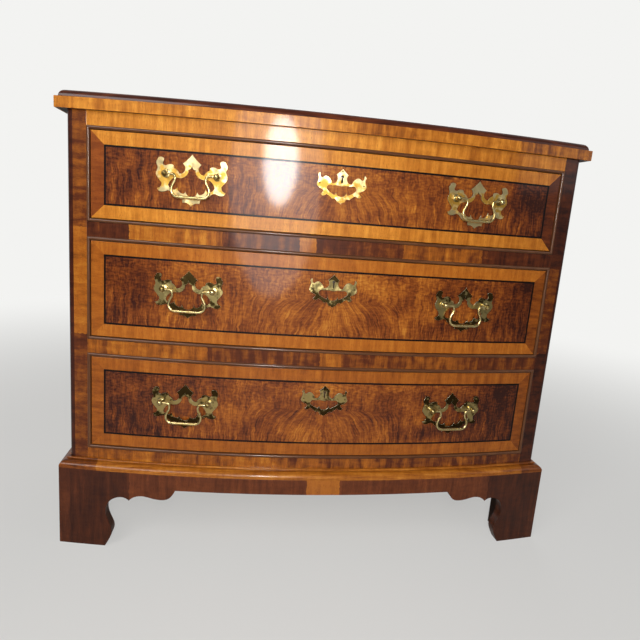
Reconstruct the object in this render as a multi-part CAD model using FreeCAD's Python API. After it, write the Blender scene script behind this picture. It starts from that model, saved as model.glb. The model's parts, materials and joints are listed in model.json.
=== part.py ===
import FreeCAD, Part
import math
import os
from FreeCAD import Vector

# A bow front chest of three long drawers on bracket feet, in millimetres.
# While it is built, x = 0 is the middle of the chest, y = 0 the line through the
# two front corners of the case, -y the front, and z = 0 the floor. The last step
# moves y = 0 to the middle of the chest's overall depth.

# ---------------------------------------------------------------- driving sizes
CASE_WIDTH = 867.0  # over the two sides
CASE_DEPTH = 447.0  # front corner of the case to the back of its sides
FRONT_BOW = 39.5  # how far the middle of the front stands ahead of its corners

FOOT_HEIGHT = 142.0  # floor to the top of the bracket feet
MOULDING_HEIGHT = 15.5  # stepped and rounded moulding above the feet
BOTTOM_RAIL_SHOWING = 19.5  # plain rail between that moulding and the lowest drawer
OPENING_HEIGHTS = (170.0, 170.0, 147.5)  # drawer openings, the lowest first
DIVIDER_THICKNESS = 23.5  # rail between two drawers
TOP_RAIL_THICKNESS = 22.0
RAIL_DEPTH = 70.0  # a rail's back edge, behind the front corners

SIDE_THICKNESS = 20.0
STILE_WIDTH = 31.0
STILE_THICKNESS = 20.0
CORNER_ROUND = 9.0
BACK_THICKNESS = 6.0
BACK_REBATE = 10.0  # how far the back laps over each side
HOUSING_DEPTH = 6.0  # how far a rail is let into each side
BOTTOM_BOARD_THICKNESS = 12.0
DUSTBOARD_THICKNESS = 8.0
DUSTBOARD_TONGUE = 7.0

TOP_EDGE_HEIGHT = 17.0  # square crossbanded edge of the top
TOP_MOULD_HEIGHT = 11.5  # rounded moulding above that edge
TOP_QUIRK = 5.0  # step between the square edge and the moulding
TOP_SIDE_OVERHANG = 17.0
TOP_FRONT_OVERHANG = 7.0
TOP_BACK_OVERHANG = 6.0
EDGE_BAND_THICKNESS = 3.0

BEAD_THICKNESS = 5.5  # cock bead round each opening
BEAD_PROJECTION = 3.0
BEAD_DEPTH = 12.0
BEAD_FACETS = 6  # flat strips that round the nose of a bead

MOULDING_PROJECTION = 15.5
MOULDING_TOP_LEDGE = 4.0
MOULDING_TOP_STEP = 4.0  # from that ledge down to the start of the round
MOULDING_BOTTOM_FILLET = 2.5
BRACKET_PROJECTION = 15.5
BRACKET_THICKNESS = 22.0
BRACKET_REACH = 200.0  # outer face of a foot to where the straight apron starts
APRON_CLEARANCE = 114.0  # floor to the underside of the straight apron
BLOCK_SIZE = 45.0
BLOCK_FLOOR_GAP = 2.0
REAR_BRACKET_REACH = 120.0
REAR_BRACKET_THICKNESS = 18.0
REAR_BRACKET_TOE = 70.0  # width that a rear bracket keeps at the floor

DRAWER_GAP = 1.0  # all round a drawer front
DRAWER_FRONT_THICKNESS = 20.0
DRAWER_SIDE_THICKNESS = 10.0
DRAWER_SIDE_DROP = 8.0  # drawer sides stop this far below the top of the front
DRAWER_BACK_THICKNESS = 10.0
DRAWER_BACK_DROP = 6.0
DRAWER_BACK_GAP = 12.0  # behind a closed drawer
DRAWER_BOTTOM_THICKNESS = 6.0
DRAWER_BOTTOM_RISE = 8.0
GROOVE_DEPTH = 5.0
TAIL_COUNT = 4  # dovetails at each corner of a drawer
TAIL_SHARE = 0.68
TAIL_SLOPE = 0.16
FRONT_LAP = 6.0  # wood that hides the dovetails from the front

BAND_WIDTH = 21.0  # crossbanding round a drawer front
STRING_WIDTH = 2.0  # dark line inside the crossbanding
VENEER_THICKNESS = 1.5

RUNNING_GAP = 0.3  # drawer side above its runner
GUIDE_GAP = 0.6  # drawer side beside its guide
KICKER_GAP = 1.5
RUNNER_WIDTH = 23.0
GUIDE_HEIGHT = 24.0
STOP_WIDTH = 30.0
STOP_DEPTH = 16.0
STOP_LIFT = 4.5  # how far a stop stands up behind the drawer front
STOP_GAP = 0.4
STOP_PLACE = 250.0  # middle of a stop, from the middle of the chest

HANDLE_PLACE = 238.0  # middle of a handle, from the middle of the chest
HANDLE_RISE = 10.0  # handle posts above the middle of the drawer front
HANDLE_SPACING = 80.5  # between the two posts of a handle
PLATE_THICKNESS = 1.6
SEAT_GAP = 0.05  # flat brass on the bowed wood
SHANK_RADIUS = 2.25
SHANK_CLEARANCE = 0.25
THREAD_END = 1.5  # shank that shows beyond its nut
NUT_SIZE = 10.0
NUT_THICKNESS = 4.0
NUT_CLEARANCE = 0.05
BOSS_RADIUS = 6.6
BOSS_THICKNESS = 1.8
NECK_RADIUS = 3.1
BALL_RADIUS = 4.8
PIVOT_STANDOFF = 11.5  # pivot line of the bail, ahead of the drawer front
BAIL_RADIUS = 1.8
PIN_RADIUS = 1.6
PIN_CLEARANCE = 0.08
PIN_PAST_CENTRE = 1.5
BAIL_DROP = 35.0
BAIL_NECK = 25.0  # half width where the bail turns down
BAIL_WAIST = 23.5  # half width of the waist below that
BAIL_BELLY = 29.0  # half width at the widest
BAIL_FOOT = 24.0  # half width of the straight grip at the bottom
BAIL_TURNS = (3.6, 7.0, 8.0, 7.0)  # radii of the bends at these four
BAIL_SHOULDER_GAP = 1.0  # full thickness of the bail starts this far from a ball

KEYHOLE_DEPTH = 39.75  # keyhole's round end below the top of a drawer front
KEYHOLE_RISE = 17.5  # keyhole's round end above the level an escutcheon is drawn from
KEYHOLE_RADIUS = 2.3
KEYHOLE_SLOT = 2.6
KEYHOLE_DROP = 10.0
PIN_HEAD_RADIUS = 1.4
PIN_SHANK_RADIUS = 0.6
PIN_LENGTH = 9.0
LOCK_WIDTH = 56.0
LOCK_THICKNESS = 9.0
LOCK_PROUD = 0.5
LOCK_BELOW_KEY = 25.0
LOCK_PIN_RADIUS = 1.3
BOLT_WIDTH = 24.0
BOLT_THICKNESS = 5.0
BOLT_TAIL = 10.0  # bolt that stays below the keyhole's round end
BOLT_CLEARANCE = 0.3
BOLT_THROW = 11.0
MORTISE_CLEARANCE = 1.0
CUT_PAST = 1.0  # how far a cut or a root runs past the face that it meets

# The inner edge of a bracket foot, from the floor up. Each point is a share of
# BRACKET_REACH inward from the foot's outer face, and of APRON_CLEARANCE upward.
FOOT_CURVE_SHARES = [
    (0.400, 0.000),
    (0.440, 0.132),
    (0.460, 0.250),
    (0.423, 0.439),
    (0.405, 0.627),
    (0.430, 0.741),
    (0.488, 0.820),
    (0.545, 0.838),
    (0.605, 0.789),
]
WING_CURVE_SHARES = [
    (0.605, 0.789),
    (0.667, 0.864),
    (0.715, 0.877),
    (0.797, 0.851),
    (0.873, 0.833),
    (0.938, 0.855),
    (0.978, 0.925),
    (1.000, 1.000),
]

# Right half of a handle plate, in mm from the middle of its two posts: smooth
# runs that meet at its points, from the crown down to the pendant.
PLATE_OUTLINE = [
    [(0.0, 31.2), (6.5, 23.8), (14.5, 16.8)],
    [(14.5, 16.8), (11.2, 13.2), (10.4, 8.0), (13.2, 3.2), (19.5, 1.2)],
    [(19.5, 1.2), (22.6, 6.0), (27.5, 9.0)],
    [(27.5, 9.0), (30.0, 14.0), (36.0, 14.2), (40.5, 12.0)],
    [(40.5, 12.0), (45.4, 16.0), (43.8, 22.4), (48.5, 24.6), (53.6, 20.6)],
    [(53.6, 20.6), (55.4, 15.0), (53.4, 8.0), (56.0, 0.0), (52.0, -8.4), (47.0, -14.4)],
    [(47.0, -14.4), (47.6, -19.4), (53.6, -23.4)],
    [(53.6, -23.4), (50.4, -27.6), (44.6, -28.2), (37.6, -25.4)],
    [(37.6, -25.4), (31.0, -28.2), (26.0, -33.4), (20.6, -36.8)],
    [(20.6, -36.8), (16.4, -36.0), (13.4, -43.0)],
    [(13.4, -43.0), (7.0, -43.2), (0.0, -48.0)],
]
PLATE_OPENING = [
    [(0.0, 15.6), (2.6, 9.4), (6.0, 8.2)],
    [(6.0, 8.2), (6.4, 2.2), (11.4, -3.4), (20.0, -5.4)],
    [(20.0, -5.4), (28.4, -6.2), (33.6, -11.0), (36.6, -17.2)],
    [(36.6, -17.2), (33.0, -22.2), (27.4, -24.0), (22.4, -19.4)],
    [(22.4, -19.4), (19.4, -26.6), (14.0, -29.4)],
    [(14.0, -29.4), (10.8, -28.6), (9.6, -25.0)],
    [(9.6, -25.0), (5.6, -31.6), (0.0, -33.2)],
]

# Right half of a keyhole escutcheon, in mm about the level of its two side pins' wings.
ESCUTCHEON_OUTLINE = [
    [(0.0, 30.0), (4.6, 25.0), (9.8, 20.4)],
    [(9.8, 20.4), (7.6, 16.0), (8.4, 10.4), (16.4, 6.4)],
    [(16.4, 6.4), (18.6, 11.4), (21.4, 14.6)],
    [(21.4, 14.6), (26.0, 17.0), (31.8, 14.2)],
    [(31.8, 14.2), (35.6, 16.4), (36.4, 21.2), (39.8, 18.0)],
    [(39.8, 18.0), (38.8, 10.0), (40.6, 3.2), (35.0, -2.6), (29.6, -5.0)],
    [(29.6, -5.0), (30.4, -8.6), (33.6, -11.4)],
    [(33.6, -11.4), (30.0, -14.2), (24.0, -11.2)],
    [(24.0, -11.2), (18.8, -14.4), (14.0, -18.4)],
    [(14.0, -18.4), (10.4, -17.6), (6.4, -22.6)],
    [(6.4, -22.6), (3.8, -23.2), (0.0, -26.0)],
]
ESCUTCHEON_OPENING = [
    [(0.0, 2.0), (8.0, 3.4), (15.0, 2.8)],
    [(15.0, 2.8), (22.6, 2.4), (24.6, -2.6)],
    [(24.6, -2.6), (20.6, -6.8), (15.0, -9.6)],
    [(15.0, -9.6), (10.4, -11.4), (8.6, -7.6)],
    [(8.6, -7.6), (5.4, -12.8), (0.0, -14.2)],
]
ESCUTCHEON_PINS = [(0.0, 26.0), (36.4, 5.6), (-36.4, 5.6)]

# ---------------------------------------------------------------- derived places
HALF = CASE_WIDTH / 2
INNER = HALF - SIDE_THICKNESS  # inner face of a side
OPENING_HALF = HALF - STILE_WIDTH
BOW_RADIUS = (HALF**2 + FRONT_BOW**2) / (2 * FRONT_BOW)
BOW_CENTRE = BOW_RADIUS - FRONT_BOW  # y of the point that the front curves about
CASE_BOTTOM = FOOT_HEIGHT
OPENINGS = []  # (bottom, top) of each opening, the lowest first
level = CASE_BOTTOM + MOULDING_HEIGHT + BOTTOM_RAIL_SHOWING
for height in OPENING_HEIGHTS:
    OPENINGS.append((level, level + height))
    level = level + height + DIVIDER_THICKNESS
CASE_TOP = OPENINGS[-1][1] + TOP_RAIL_THICKNESS
EDGE_TOP = CASE_TOP + TOP_EDGE_HEIGHT
BACK_FACE = CASE_DEPTH - BACK_THICKNESS  # inner face of the back
DRAWER_HALF = OPENING_HALF - BEAD_THICKNESS - DRAWER_GAP
DRAWER_REAR = BACK_FACE - DRAWER_BACK_GAP
SIDE_INNER = DRAWER_HALF - DRAWER_SIDE_THICKNESS
RUNNER_INNER = INNER - RUNNER_WIDTH
LOCK_BACK = -FRONT_BOW + DRAWER_FRONT_THICKNESS + LOCK_PROUD
LOCK_FACE = LOCK_BACK - LOCK_THICKNESS
BOLT_MIDDLE = (LOCK_BACK + LOCK_FACE) / 2
FAR = 2 * CASE_WIDTH  # longer than any cut needs


# ---------------------------------------------------------------- shape helpers
def box(x0, x1, y0, y1, z0, z1):
    return Part.makeBox(x1 - x0, y1 - y0, z1 - z0, Vector(x0, y0, z0))


def mirrored(shape):
    """The same piece on the other side of the chest."""
    return shape.mirror(Vector(0, 0, 0), Vector(1, 0, 0))


def bow_y(x, out=0.0):
    """Depth of the front's curve at x, or of a curve that far outside it."""
    return BOW_CENTRE - math.sqrt((BOW_RADIUS + out) ** 2 - x**2)


def bow_edge(x0, x1, out, z):
    middle = (x0 + x1) / 2
    ends = [Vector(x, bow_y(x, out), z) for x in (x0, middle, x1)]
    return Part.Arc(*ends).toShape()


def closed_face(edges):
    return Part.Face(Part.Wire(Part.__sortEdges__(edges)))


def polygon_face(points):
    return Part.Face(Part.makePolygon(points + [points[0]]))


def bowed_board(x0, x1, out, back, z0, z1):
    """A board with a bowed front and a straight back edge."""
    corners = [
        Vector(x1, bow_y(x1, out), z0),
        Vector(x1, back, z0),
        Vector(x0, back, z0),
        Vector(x0, bow_y(x0, out), z0),
    ]
    lines = [Part.makeLine(a, b) for a, b in zip(corners, corners[1:])]
    face = closed_face([bow_edge(x0, x1, out, z0)] + lines)
    return face.extrude(Vector(0, 0, z1 - z0))


def bowed_strip(x0, x1, out, inner, z0, z1):
    """A strip between two curves that lie out and inner outside the front."""
    ends = [
        Part.makeLine(Vector(x, bow_y(x, out), z0), Vector(x, bow_y(x, inner), z0))
        for x in (x0, x1)
    ]
    face = closed_face([bow_edge(x0, x1, out, z0), bow_edge(x0, x1, inner, z0)] + ends)
    return face.extrude(Vector(0, 0, z1 - z0))


def seen_from_front(points):
    """A prism through the whole depth, from (x, z) points of the front view."""
    face = polygon_face([Vector(x, -FAR, z) for x, z in points])
    return face.extrude(Vector(0, 2 * FAR, 0))


def seen_from_above(points):
    """A prism through the whole height, from (x, y) points of the plan."""
    face = polygon_face([Vector(x, y, -FAR) for x, y in points])
    return face.extrude(Vector(0, 0, 2 * FAR))


def bow_ring(profile_edges, half_width):
    """Turns a profile, drawn at x = 0, about the front's centre of curvature."""
    angle = math.degrees(math.asin(half_width / BOW_RADIUS)) + 1.0
    face = closed_face(profile_edges)
    centre = Vector(0, BOW_CENTRE, 0)
    face.rotate(centre, Vector(0, 0, 1), -angle)
    return face.revolve(centre, Vector(0, 0, 1), 2 * angle)


def frame_sides(half, z0, z1, width):
    """The four mitred regions of a frame in the front view."""
    a, b = half, half - width
    return [
        [(-a, z1), (a, z1), (b, z1 - width), (-b, z1 - width)],
        [(-a, z0), (a, z0), (b, z0 + width), (-b, z0 + width)],
        [(-a, z0), (-a, z1), (-b, z1 - width), (-b, z0 + width)],
        [(a, z0), (a, z1), (b, z1 - width), (b, z0 + width)],
    ]


def group(solids):
    return Part.makeCompound(solids)


# ---------------------------------------------------------------- case
def rail(z0, z1, mortise_floor=None):
    """A bowed rail, let into both sides behind the stiles."""
    front = bowed_board(-OPENING_HALF, OPENING_HALF, 0, STILE_THICKNESS, z0, z1)
    reach = INNER + HOUSING_DEPTH
    shape = front.fuse(box(-reach, reach, STILE_THICKNESS, RAIL_DEPTH, z0, z1))
    shape = shape.removeSplitter()
    if mortise_floor is None:
        return shape
    half = BOLT_WIDTH / 2 + MORTISE_CLEARANCE
    thick = BOLT_THICKNESS / 2 + MORTISE_CLEARANCE
    mortise = box(-half, half, BOLT_MIDDLE - thick, BOLT_MIDDLE + thick, z0, mortise_floor)
    return shape.cut(mortise)


def mortise_top(opening_top):
    """Top of the pocket that a thrown bolt enters."""
    return opening_top - BEAD_THICKNESS - DRAWER_GAP + BOLT_THROW + MORTISE_CLEARANCE


def rails():
    names = ["bottom_rail", "lower_rail", "upper_rail", "top_rail"]
    shapes = {names[0]: rail(CASE_BOTTOM, OPENINGS[0][0])}
    for name, below, above in zip(names[1:3], OPENINGS, OPENINGS[1:]):
        shapes[name] = rail(below[1], above[0], mortise_top(below[1]))
    shapes[names[3]] = rail(OPENINGS[-1][1], CASE_TOP, mortise_top(OPENINGS[-1][1]))
    return shapes


def bottom_board():
    reach = INNER + HOUSING_DEPTH
    top = OPENINGS[0][0]
    front = RAIL_DEPTH - DUSTBOARD_TONGUE
    return box(-reach, reach, front, BACK_FACE, top - BOTTOM_BOARD_THICKNESS, top)


def dustboard_levels():
    for below, above in zip(OPENINGS, OPENINGS[1:]):
        middle = (below[1] + above[0]) / 2
        yield middle - DUSTBOARD_THICKNESS / 2, middle + DUSTBOARD_THICKNESS / 2


def dustboards():
    reach = RUNNER_INNER + DUSTBOARD_TONGUE
    front = RAIL_DEPTH - DUSTBOARD_TONGUE
    return [box(-reach, reach, front, BACK_FACE, z0, z1) for z0, z1 in dustboard_levels()]


def drawer_span(index):
    """Bottom and top of the drawer front in an opening."""
    bottom, top = OPENINGS[index]
    return bottom + BEAD_THICKNESS + DRAWER_GAP, top - BEAD_THICKNESS - DRAWER_GAP


def runner_top(index):
    return drawer_span(index)[0] - RUNNING_GAP


def kicker_bottom(index):
    return drawer_span(index)[1] - DRAWER_SIDE_DROP + KICKER_GAP


def runners():
    """Bearers that carry each drawer and keep the one below from tipping."""
    floors = [OPENINGS[0][0]] + [kicker_bottom(i) for i in range(len(OPENINGS) - 1)]
    solids = []
    for index, floor in enumerate(floors):
        solids.append(box(RUNNER_INNER, INNER, RAIL_DEPTH, BACK_FACE, floor, runner_top(index)))
    last = kicker_bottom(len(OPENINGS) - 1)
    solids.append(box(RUNNER_INNER, INNER, RAIL_DEPTH, BACK_FACE, last, CASE_TOP))
    for board in dustboards():
        solids = [solid.cut(board) for solid in solids]
    return solids + [mirrored(solid) for solid in solids]


def guides():
    """Strips that keep each drawer square in its opening."""
    solids = []
    for index in range(len(OPENINGS)):
        z0 = runner_top(index)
        inner = DRAWER_HALF + GUIDE_GAP
        solids.append(box(inner, INNER, RAIL_DEPTH, BACK_FACE, z0, z0 + GUIDE_HEIGHT))
    return solids + [mirrored(solid) for solid in solids]


def stops():
    """Blocks on the rails that a closing drawer front meets."""
    solids = []
    face = -DRAWER_FRONT_THICKNESS - STOP_GAP
    x0 = STOP_PLACE - STOP_WIDTH / 2
    x1 = STOP_PLACE + STOP_WIDTH / 2
    for index, (bottom, _) in enumerate(OPENINGS):
        top = drawer_span(index)[0] + STOP_LIFT
        solids.append(bowed_strip(x0, x1, face, face - STOP_DEPTH, bottom, top))
    return solids + [mirrored(solid) for solid in solids]


def side(housed):
    """The right side of the case, with its rebate and the housings cut in it."""
    shape = box(INNER, HALF, STILE_THICKNESS, CASE_DEPTH, CASE_BOTTOM, CASE_TOP)
    for piece in housed + [back_panel()]:
        shape = shape.cut(piece)
    return shape


def back_panel():
    reach = INNER + BACK_REBATE
    return box(-reach, reach, BACK_FACE, CASE_DEPTH, CASE_BOTTOM, CASE_TOP)


def stile():
    shape = bowed_board(OPENING_HALF, HALF, 0, STILE_THICKNESS, CASE_BOTTOM, CASE_TOP)
    corner = [
        edge
        for edge in shape.Edges
        if abs(edge.BoundBox.XMin - HALF) < 1e-6
        and edge.BoundBox.ZLength > 1
        and edge.BoundBox.YMax < STILE_THICKNESS / 2
    ]
    return shape.makeFillet(CORNER_ROUND, corner)


def bead_profile():
    """Points (out, up) of a bead's section, with its rounded nose in facets."""
    nose = BEAD_THICKNESS / 2
    face = BEAD_PROJECTION - nose
    points = [(BEAD_PROJECTION - BEAD_DEPTH, 0)]
    for count in range(BEAD_FACETS + 1):
        angle = math.pi * (count / BEAD_FACETS - 0.5)
        points.append((face + nose * math.cos(angle), nose + nose * math.sin(angle)))
    return points + [(BEAD_PROJECTION - BEAD_DEPTH, BEAD_THICKNESS)]


def cock_bead(z0, z1):
    """Four mitred strips with rounded noses, round one opening."""
    section = bead_profile()
    regions = [seen_from_front(r) for r in frame_sides(OPENING_HALF, z0, z1, BEAD_THICKNESS)]
    beads = []
    for bottom, region in zip((z1 - BEAD_THICKNESS, z0), regions):
        corners = [Vector(0, BOW_CENTRE - BOW_RADIUS - out, bottom + up) for out, up in section]
        outline = Part.makePolygon(corners + corners[:1]).Edges
        beads.append(bow_ring(outline, OPENING_HALF).common(region))
    x = OPENING_HALF - BEAD_THICKNESS
    y = bow_y(x + BEAD_THICKNESS / 2)
    face = polygon_face([Vector(x + up, y - out, z0) for out, up in section])
    upright = face.extrude(Vector(0, 0, z1 - z0)).common(regions[3])
    return beads + [upright, mirrored(upright)]


# ---------------------------------------------------------------- top
def top_plan(inset, z0, z1):
    """A slab with the top's outline, drawn in by inset at its front and ends."""
    half = HALF + TOP_SIDE_OVERHANG - inset
    out = TOP_FRONT_OVERHANG - inset
    return bowed_board(-half, half, out, CASE_DEPTH + TOP_BACK_OVERHANG, z0, z1)


def top_board():
    core = top_plan(EDGE_BAND_THICKNESS, CASE_TOP, EDGE_TOP)
    upper = top_plan(TOP_QUIRK, EDGE_TOP, EDGE_TOP + TOP_MOULD_HEIGHT)
    rim = [
        edge
        for edge in upper.Edges
        if edge.BoundBox.ZMin > EDGE_TOP + TOP_MOULD_HEIGHT - 1e-3
        and edge.BoundBox.YMin < CASE_DEPTH - 1
    ]
    upper = upper.makeFillet(TOP_MOULD_HEIGHT - 0.5, rim)
    return core.fuse(upper).removeSplitter()


def top_edge_band():
    """Crossbanded lipping on the front and both ends of the top, mitred."""
    ring = top_plan(0, CASE_TOP, EDGE_TOP).cut(top_plan(EDGE_BAND_THICKNESS, CASE_TOP, EDGE_TOP))
    half = HALF + TOP_SIDE_OVERHANG
    inner = half - EDGE_BAND_THICKNESS
    corner = (half, bow_y(half, TOP_FRONT_OVERHANG))
    inside = (inner, bow_y(inner, TOP_FRONT_OVERHANG - EDGE_BAND_THICKNESS))
    return split_at_mitres(ring, corner, inside)


def split_at_mitres(ring, corner, inside):
    """Cuts a U-shaped strip into its front, right and left pieces."""
    run = (corner[0] - inside[0], corner[1] - inside[1])
    far = (corner[0] + run[0] * FAR / run[0], corner[1] + run[1] * FAR / run[0])
    deep = (inside[0] - EDGE_BAND_THICKNESS, CASE_DEPTH + TOP_BACK_OVERHANG)
    right = seen_from_above([inside, far, (FAR, FAR), (deep[0], FAR), (deep[0], deep[1])])
    left = mirrored(right)
    return [ring.cut(right).cut(left), ring.common(right), ring.common(left)]


# ---------------------------------------------------------------- base
def mitre_region(out):
    """What lies to the right of the mitre at the front corner of the base."""
    corner = (HALF + out, bow_y(HALF + out, out))
    inside = (HALF, 0.0)
    slope = (corner[1] - inside[1]) / (corner[0] - inside[0])
    near = (inside[0] - BRACKET_THICKNESS, inside[1] - BRACKET_THICKNESS * slope)
    far = (FAR, inside[1] + (FAR - inside[0]) * slope)
    return seen_from_above([near, far, (FAR, FAR), (near[0], FAR)])


def base_moulding():
    z0 = CASE_BOTTOM
    z1 = z0 + MOULDING_HEIGHT
    low = z0 + MOULDING_BOTTOM_FILLET
    step = z1 - MOULDING_TOP_STEP
    run = MOULDING_PROJECTION - MOULDING_TOP_LEDGE
    lift = step - low
    bulge = (MOULDING_TOP_LEDGE + run * math.sqrt(0.5), low + lift * math.sqrt(0.5))
    outline = [(0, z0), (MOULDING_PROJECTION, z0), (MOULDING_PROJECTION, low)]
    upper = [(MOULDING_TOP_LEDGE, step), (MOULDING_TOP_LEDGE, z1), (0, z1)]

    def edges(at):
        lines = [Part.makeLine(at(*a), at(*b)) for a, b in zip(outline, outline[1:])]
        lines.append(Part.Arc(at(*outline[2]), at(*bulge), at(*upper[0])).toShape())
        lines += [Part.makeLine(at(*a), at(*b)) for a, b in zip(upper, upper[1:])]
        lines.append(Part.makeLine(at(*upper[-1]), at(*outline[0])))
        return lines

    def at_front(out, z):
        return Vector(0, BOW_CENTRE - BOW_RADIUS - out, z)

    def at_side(out, z):
        return Vector(HALF + out, -MOULDING_PROJECTION, z)

    region = mitre_region(MOULDING_PROJECTION)
    front = bow_ring(edges(at_front), HALF + MOULDING_PROJECTION)
    front = front.cut(region).cut(mirrored(region))
    length = CASE_DEPTH + MOULDING_PROJECTION
    end = closed_face(edges(at_side)).extrude(Vector(0, length, 0)).common(region)
    return [front, end, mirrored(end)]


def bracket_edges(place):
    """The curved inner edge of one bracket: place turns (inward, up) into a point."""
    edges = []
    for curve in (FOOT_CURVE_SHARES, WING_CURVE_SHARES):
        points = [place(r * BRACKET_REACH, h * APRON_CLEARANCE) for r, h in curve]
        spline = Part.BSplineCurve()
        spline.interpolate(points)
        edges.append(spline.toShape())
    return edges


def bracket_gap(near, far, direction):
    """The opening between two brackets: near and far place each one's curve."""
    edges = bracket_edges(near) + bracket_edges(far)
    foot = FOOT_CURVE_SHARES[0][0] * BRACKET_REACH
    edges.append(Part.makeLine(near(BRACKET_REACH, APRON_CLEARANCE), far(BRACKET_REACH, APRON_CLEARANCE)))
    edges.append(Part.makeLine(near(foot, 0), far(foot, 0)))
    return closed_face(edges).extrude(direction)


def front_apron():
    """The front of the base in one board: two bracket feet and the apron."""
    outer = HALF + BRACKET_PROJECTION
    inner = BRACKET_PROJECTION - BRACKET_THICKNESS
    board = bowed_strip(-outer, outer, BRACKET_PROJECTION, inner, 0, FOOT_HEIGHT)
    region = mitre_region(BRACKET_PROJECTION)
    gap = bracket_gap(
        lambda r, h: Vector(-outer + r, -FAR, h),
        lambda r, h: Vector(outer - r, -FAR, h),
        Vector(0, 2 * FAR, 0),
    )
    return board.cut(region).cut(mirrored(region)).cut(gap)


def side_bracket():
    """Right side of the base: front and rear bracket feet with the apron between."""
    outer = HALF + BRACKET_PROJECTION
    front = bow_y(outer, BRACKET_PROJECTION)
    board = box(outer - BRACKET_THICKNESS, outer, -FAR, CASE_DEPTH, 0, FOOT_HEIGHT)
    gap = bracket_gap(
        lambda r, h: Vector(-FAR, front + r, h),
        lambda r, h: Vector(-FAR, CASE_DEPTH - r, h),
        Vector(2 * FAR, 0, 0),
    )
    return board.common(mitre_region(BRACKET_PROJECTION)).cut(gap)


def rear_bracket():
    """Plain sloping bracket behind the right rear foot."""
    outer = HALF + BRACKET_PROJECTION - BRACKET_THICKNESS
    y1 = CASE_DEPTH
    shape = box(outer - REAR_BRACKET_REACH, outer, y1 - REAR_BRACKET_THICKNESS, y1, 0, FOOT_HEIGHT)
    tip = outer - REAR_BRACKET_REACH
    slope = [(tip, 0), (outer - REAR_BRACKET_TOE, 0), (tip, APRON_CLEARANCE)]
    return shape.cut(seen_from_front(slope))


def foot_blocks(apron):
    """Corner blocks behind the four feet, which carry the case."""
    outer = HALF + BRACKET_PROJECTION - BRACKET_THICKNESS
    x0 = outer - BLOCK_SIZE
    front = bow_y(x0, BRACKET_PROJECTION - BRACKET_THICKNESS)
    rear = CASE_DEPTH - REAR_BRACKET_THICKNESS
    blocks = []
    for y0, y1 in ((front, front + BLOCK_SIZE), (rear - BLOCK_SIZE, rear)):
        blocks.append(box(x0, outer, y0, y1, BLOCK_FLOOR_GAP, FOOT_HEIGHT).cut(apron))
    return blocks + [mirrored(block) for block in blocks]


# ---------------------------------------------------------------- drawers
def tails(x0, x1, tip, root, z0, z1):
    """Dovetails on a drawer side, wide at their tips and narrow at their roots."""
    pitch = (z1 - z0) / TAIL_COUNT
    wide = pitch * TAIL_SHARE / 2
    narrow = wide - abs(tip - root) * TAIL_SLOPE
    solids = []
    for count in range(TAIL_COUNT):
        z = z0 + pitch * (count + 0.5)
        outline = [(tip, z - wide), (tip, z + wide), (root, z + narrow), (root, z - narrow)]
        face = polygon_face([Vector(x0, y, h) for y, h in outline])
        solids.append(face.extrude(Vector(x1 - x0, 0, 0)))
    return solids


def turned_to(shape, place):
    """Moves brass drawn at the middle of the front round the bow to its place."""
    angle = math.degrees(math.asin(place / BOW_RADIUS))
    turned = shape.copy()
    turned.rotate(Vector(0, BOW_CENTRE, 0), Vector(0, 0, 1), angle)
    return turned


def brass_point(t, out, z):
    """t along the front, out ahead of it, at the middle of the front."""
    return Vector(t, -FRONT_BOW - out, z)


def outward_rod(t, z, radius, start, end):
    return Part.makeCylinder(radius, end - start, brass_point(t, start, z), Vector(0, -1, 0))


def smooth_face(runs, middle, out):
    """A face with mirrored halves, whose runs of points are smooth curves."""
    edges = []
    for run in runs:
        for flip in (1, -1):
            points = [brass_point(flip * t, out, middle + z) for t, z in run]
            spline = Part.BSplineCurve()
            spline.interpolate(points)
            edges.append(spline.toShape())
    return closed_face(edges)


def pierced_plate(outline, opening, middle):
    thickness = Vector(0, -PLATE_THICKNESS, 0)
    plate = smooth_face(outline, middle, SEAT_GAP).extrude(thickness)
    return plate.cut(smooth_face(opening, middle, SEAT_GAP).extrude(thickness))


def keyhole(z, depth_from, depth_to):
    """A round hole with a slot below it, cut from depth_from out to depth_to."""
    round_end = outward_rod(0, z, KEYHOLE_RADIUS, depth_from, depth_to)
    half = KEYHOLE_SLOT / 2
    near = -FRONT_BOW - depth_from
    return round_end.fuse(box(-half, half, -FRONT_BOW - depth_to, near, z - KEYHOLE_DROP, z))


def handle_plate(z):
    plate = pierced_plate(PLATE_OUTLINE, PLATE_OPENING, z)
    for side_of in (-1, 1):
        t = side_of * HANDLE_SPACING / 2
        hole = outward_rod(t, z, SHANK_RADIUS + SHANK_CLEARANCE, 0, 2 * PLATE_THICKNESS)
        plate = plate.cut(hole)
    return plate


def nut_seat():
    """Depth of a nut's face: clear of the hollow side of the bowed front."""
    t = HANDLE_SPACING / 2 + NUT_SIZE / 2
    inner = BOW_RADIUS - DRAWER_FRONT_THICKNESS
    return math.sqrt(inner**2 - t**2) - BOW_RADIUS - SEAT_GAP


def handle_post(side_of, z):
    """A turned post with a ball head, drilled for the bail, on a long shank."""
    t = side_of * HANDLE_SPACING / 2
    base = SEAT_GAP + PLATE_THICKNESS
    end = nut_seat() - NUT_THICKNESS - THREAD_END
    parts = [
        outward_rod(t, z, SHANK_RADIUS, end, base),
        outward_rod(t, z, BOSS_RADIUS, base, base + BOSS_THICKNESS),
        outward_rod(t, z, NECK_RADIUS, base, PIVOT_STANDOFF),
        Part.makeSphere(BALL_RADIUS, brass_point(t, PIVOT_STANDOFF, z)),
    ]
    shape = parts[0].multiFuse(parts[1:]).removeSplitter()
    return shape.cut(pin_hole(side_of, z))


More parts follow.
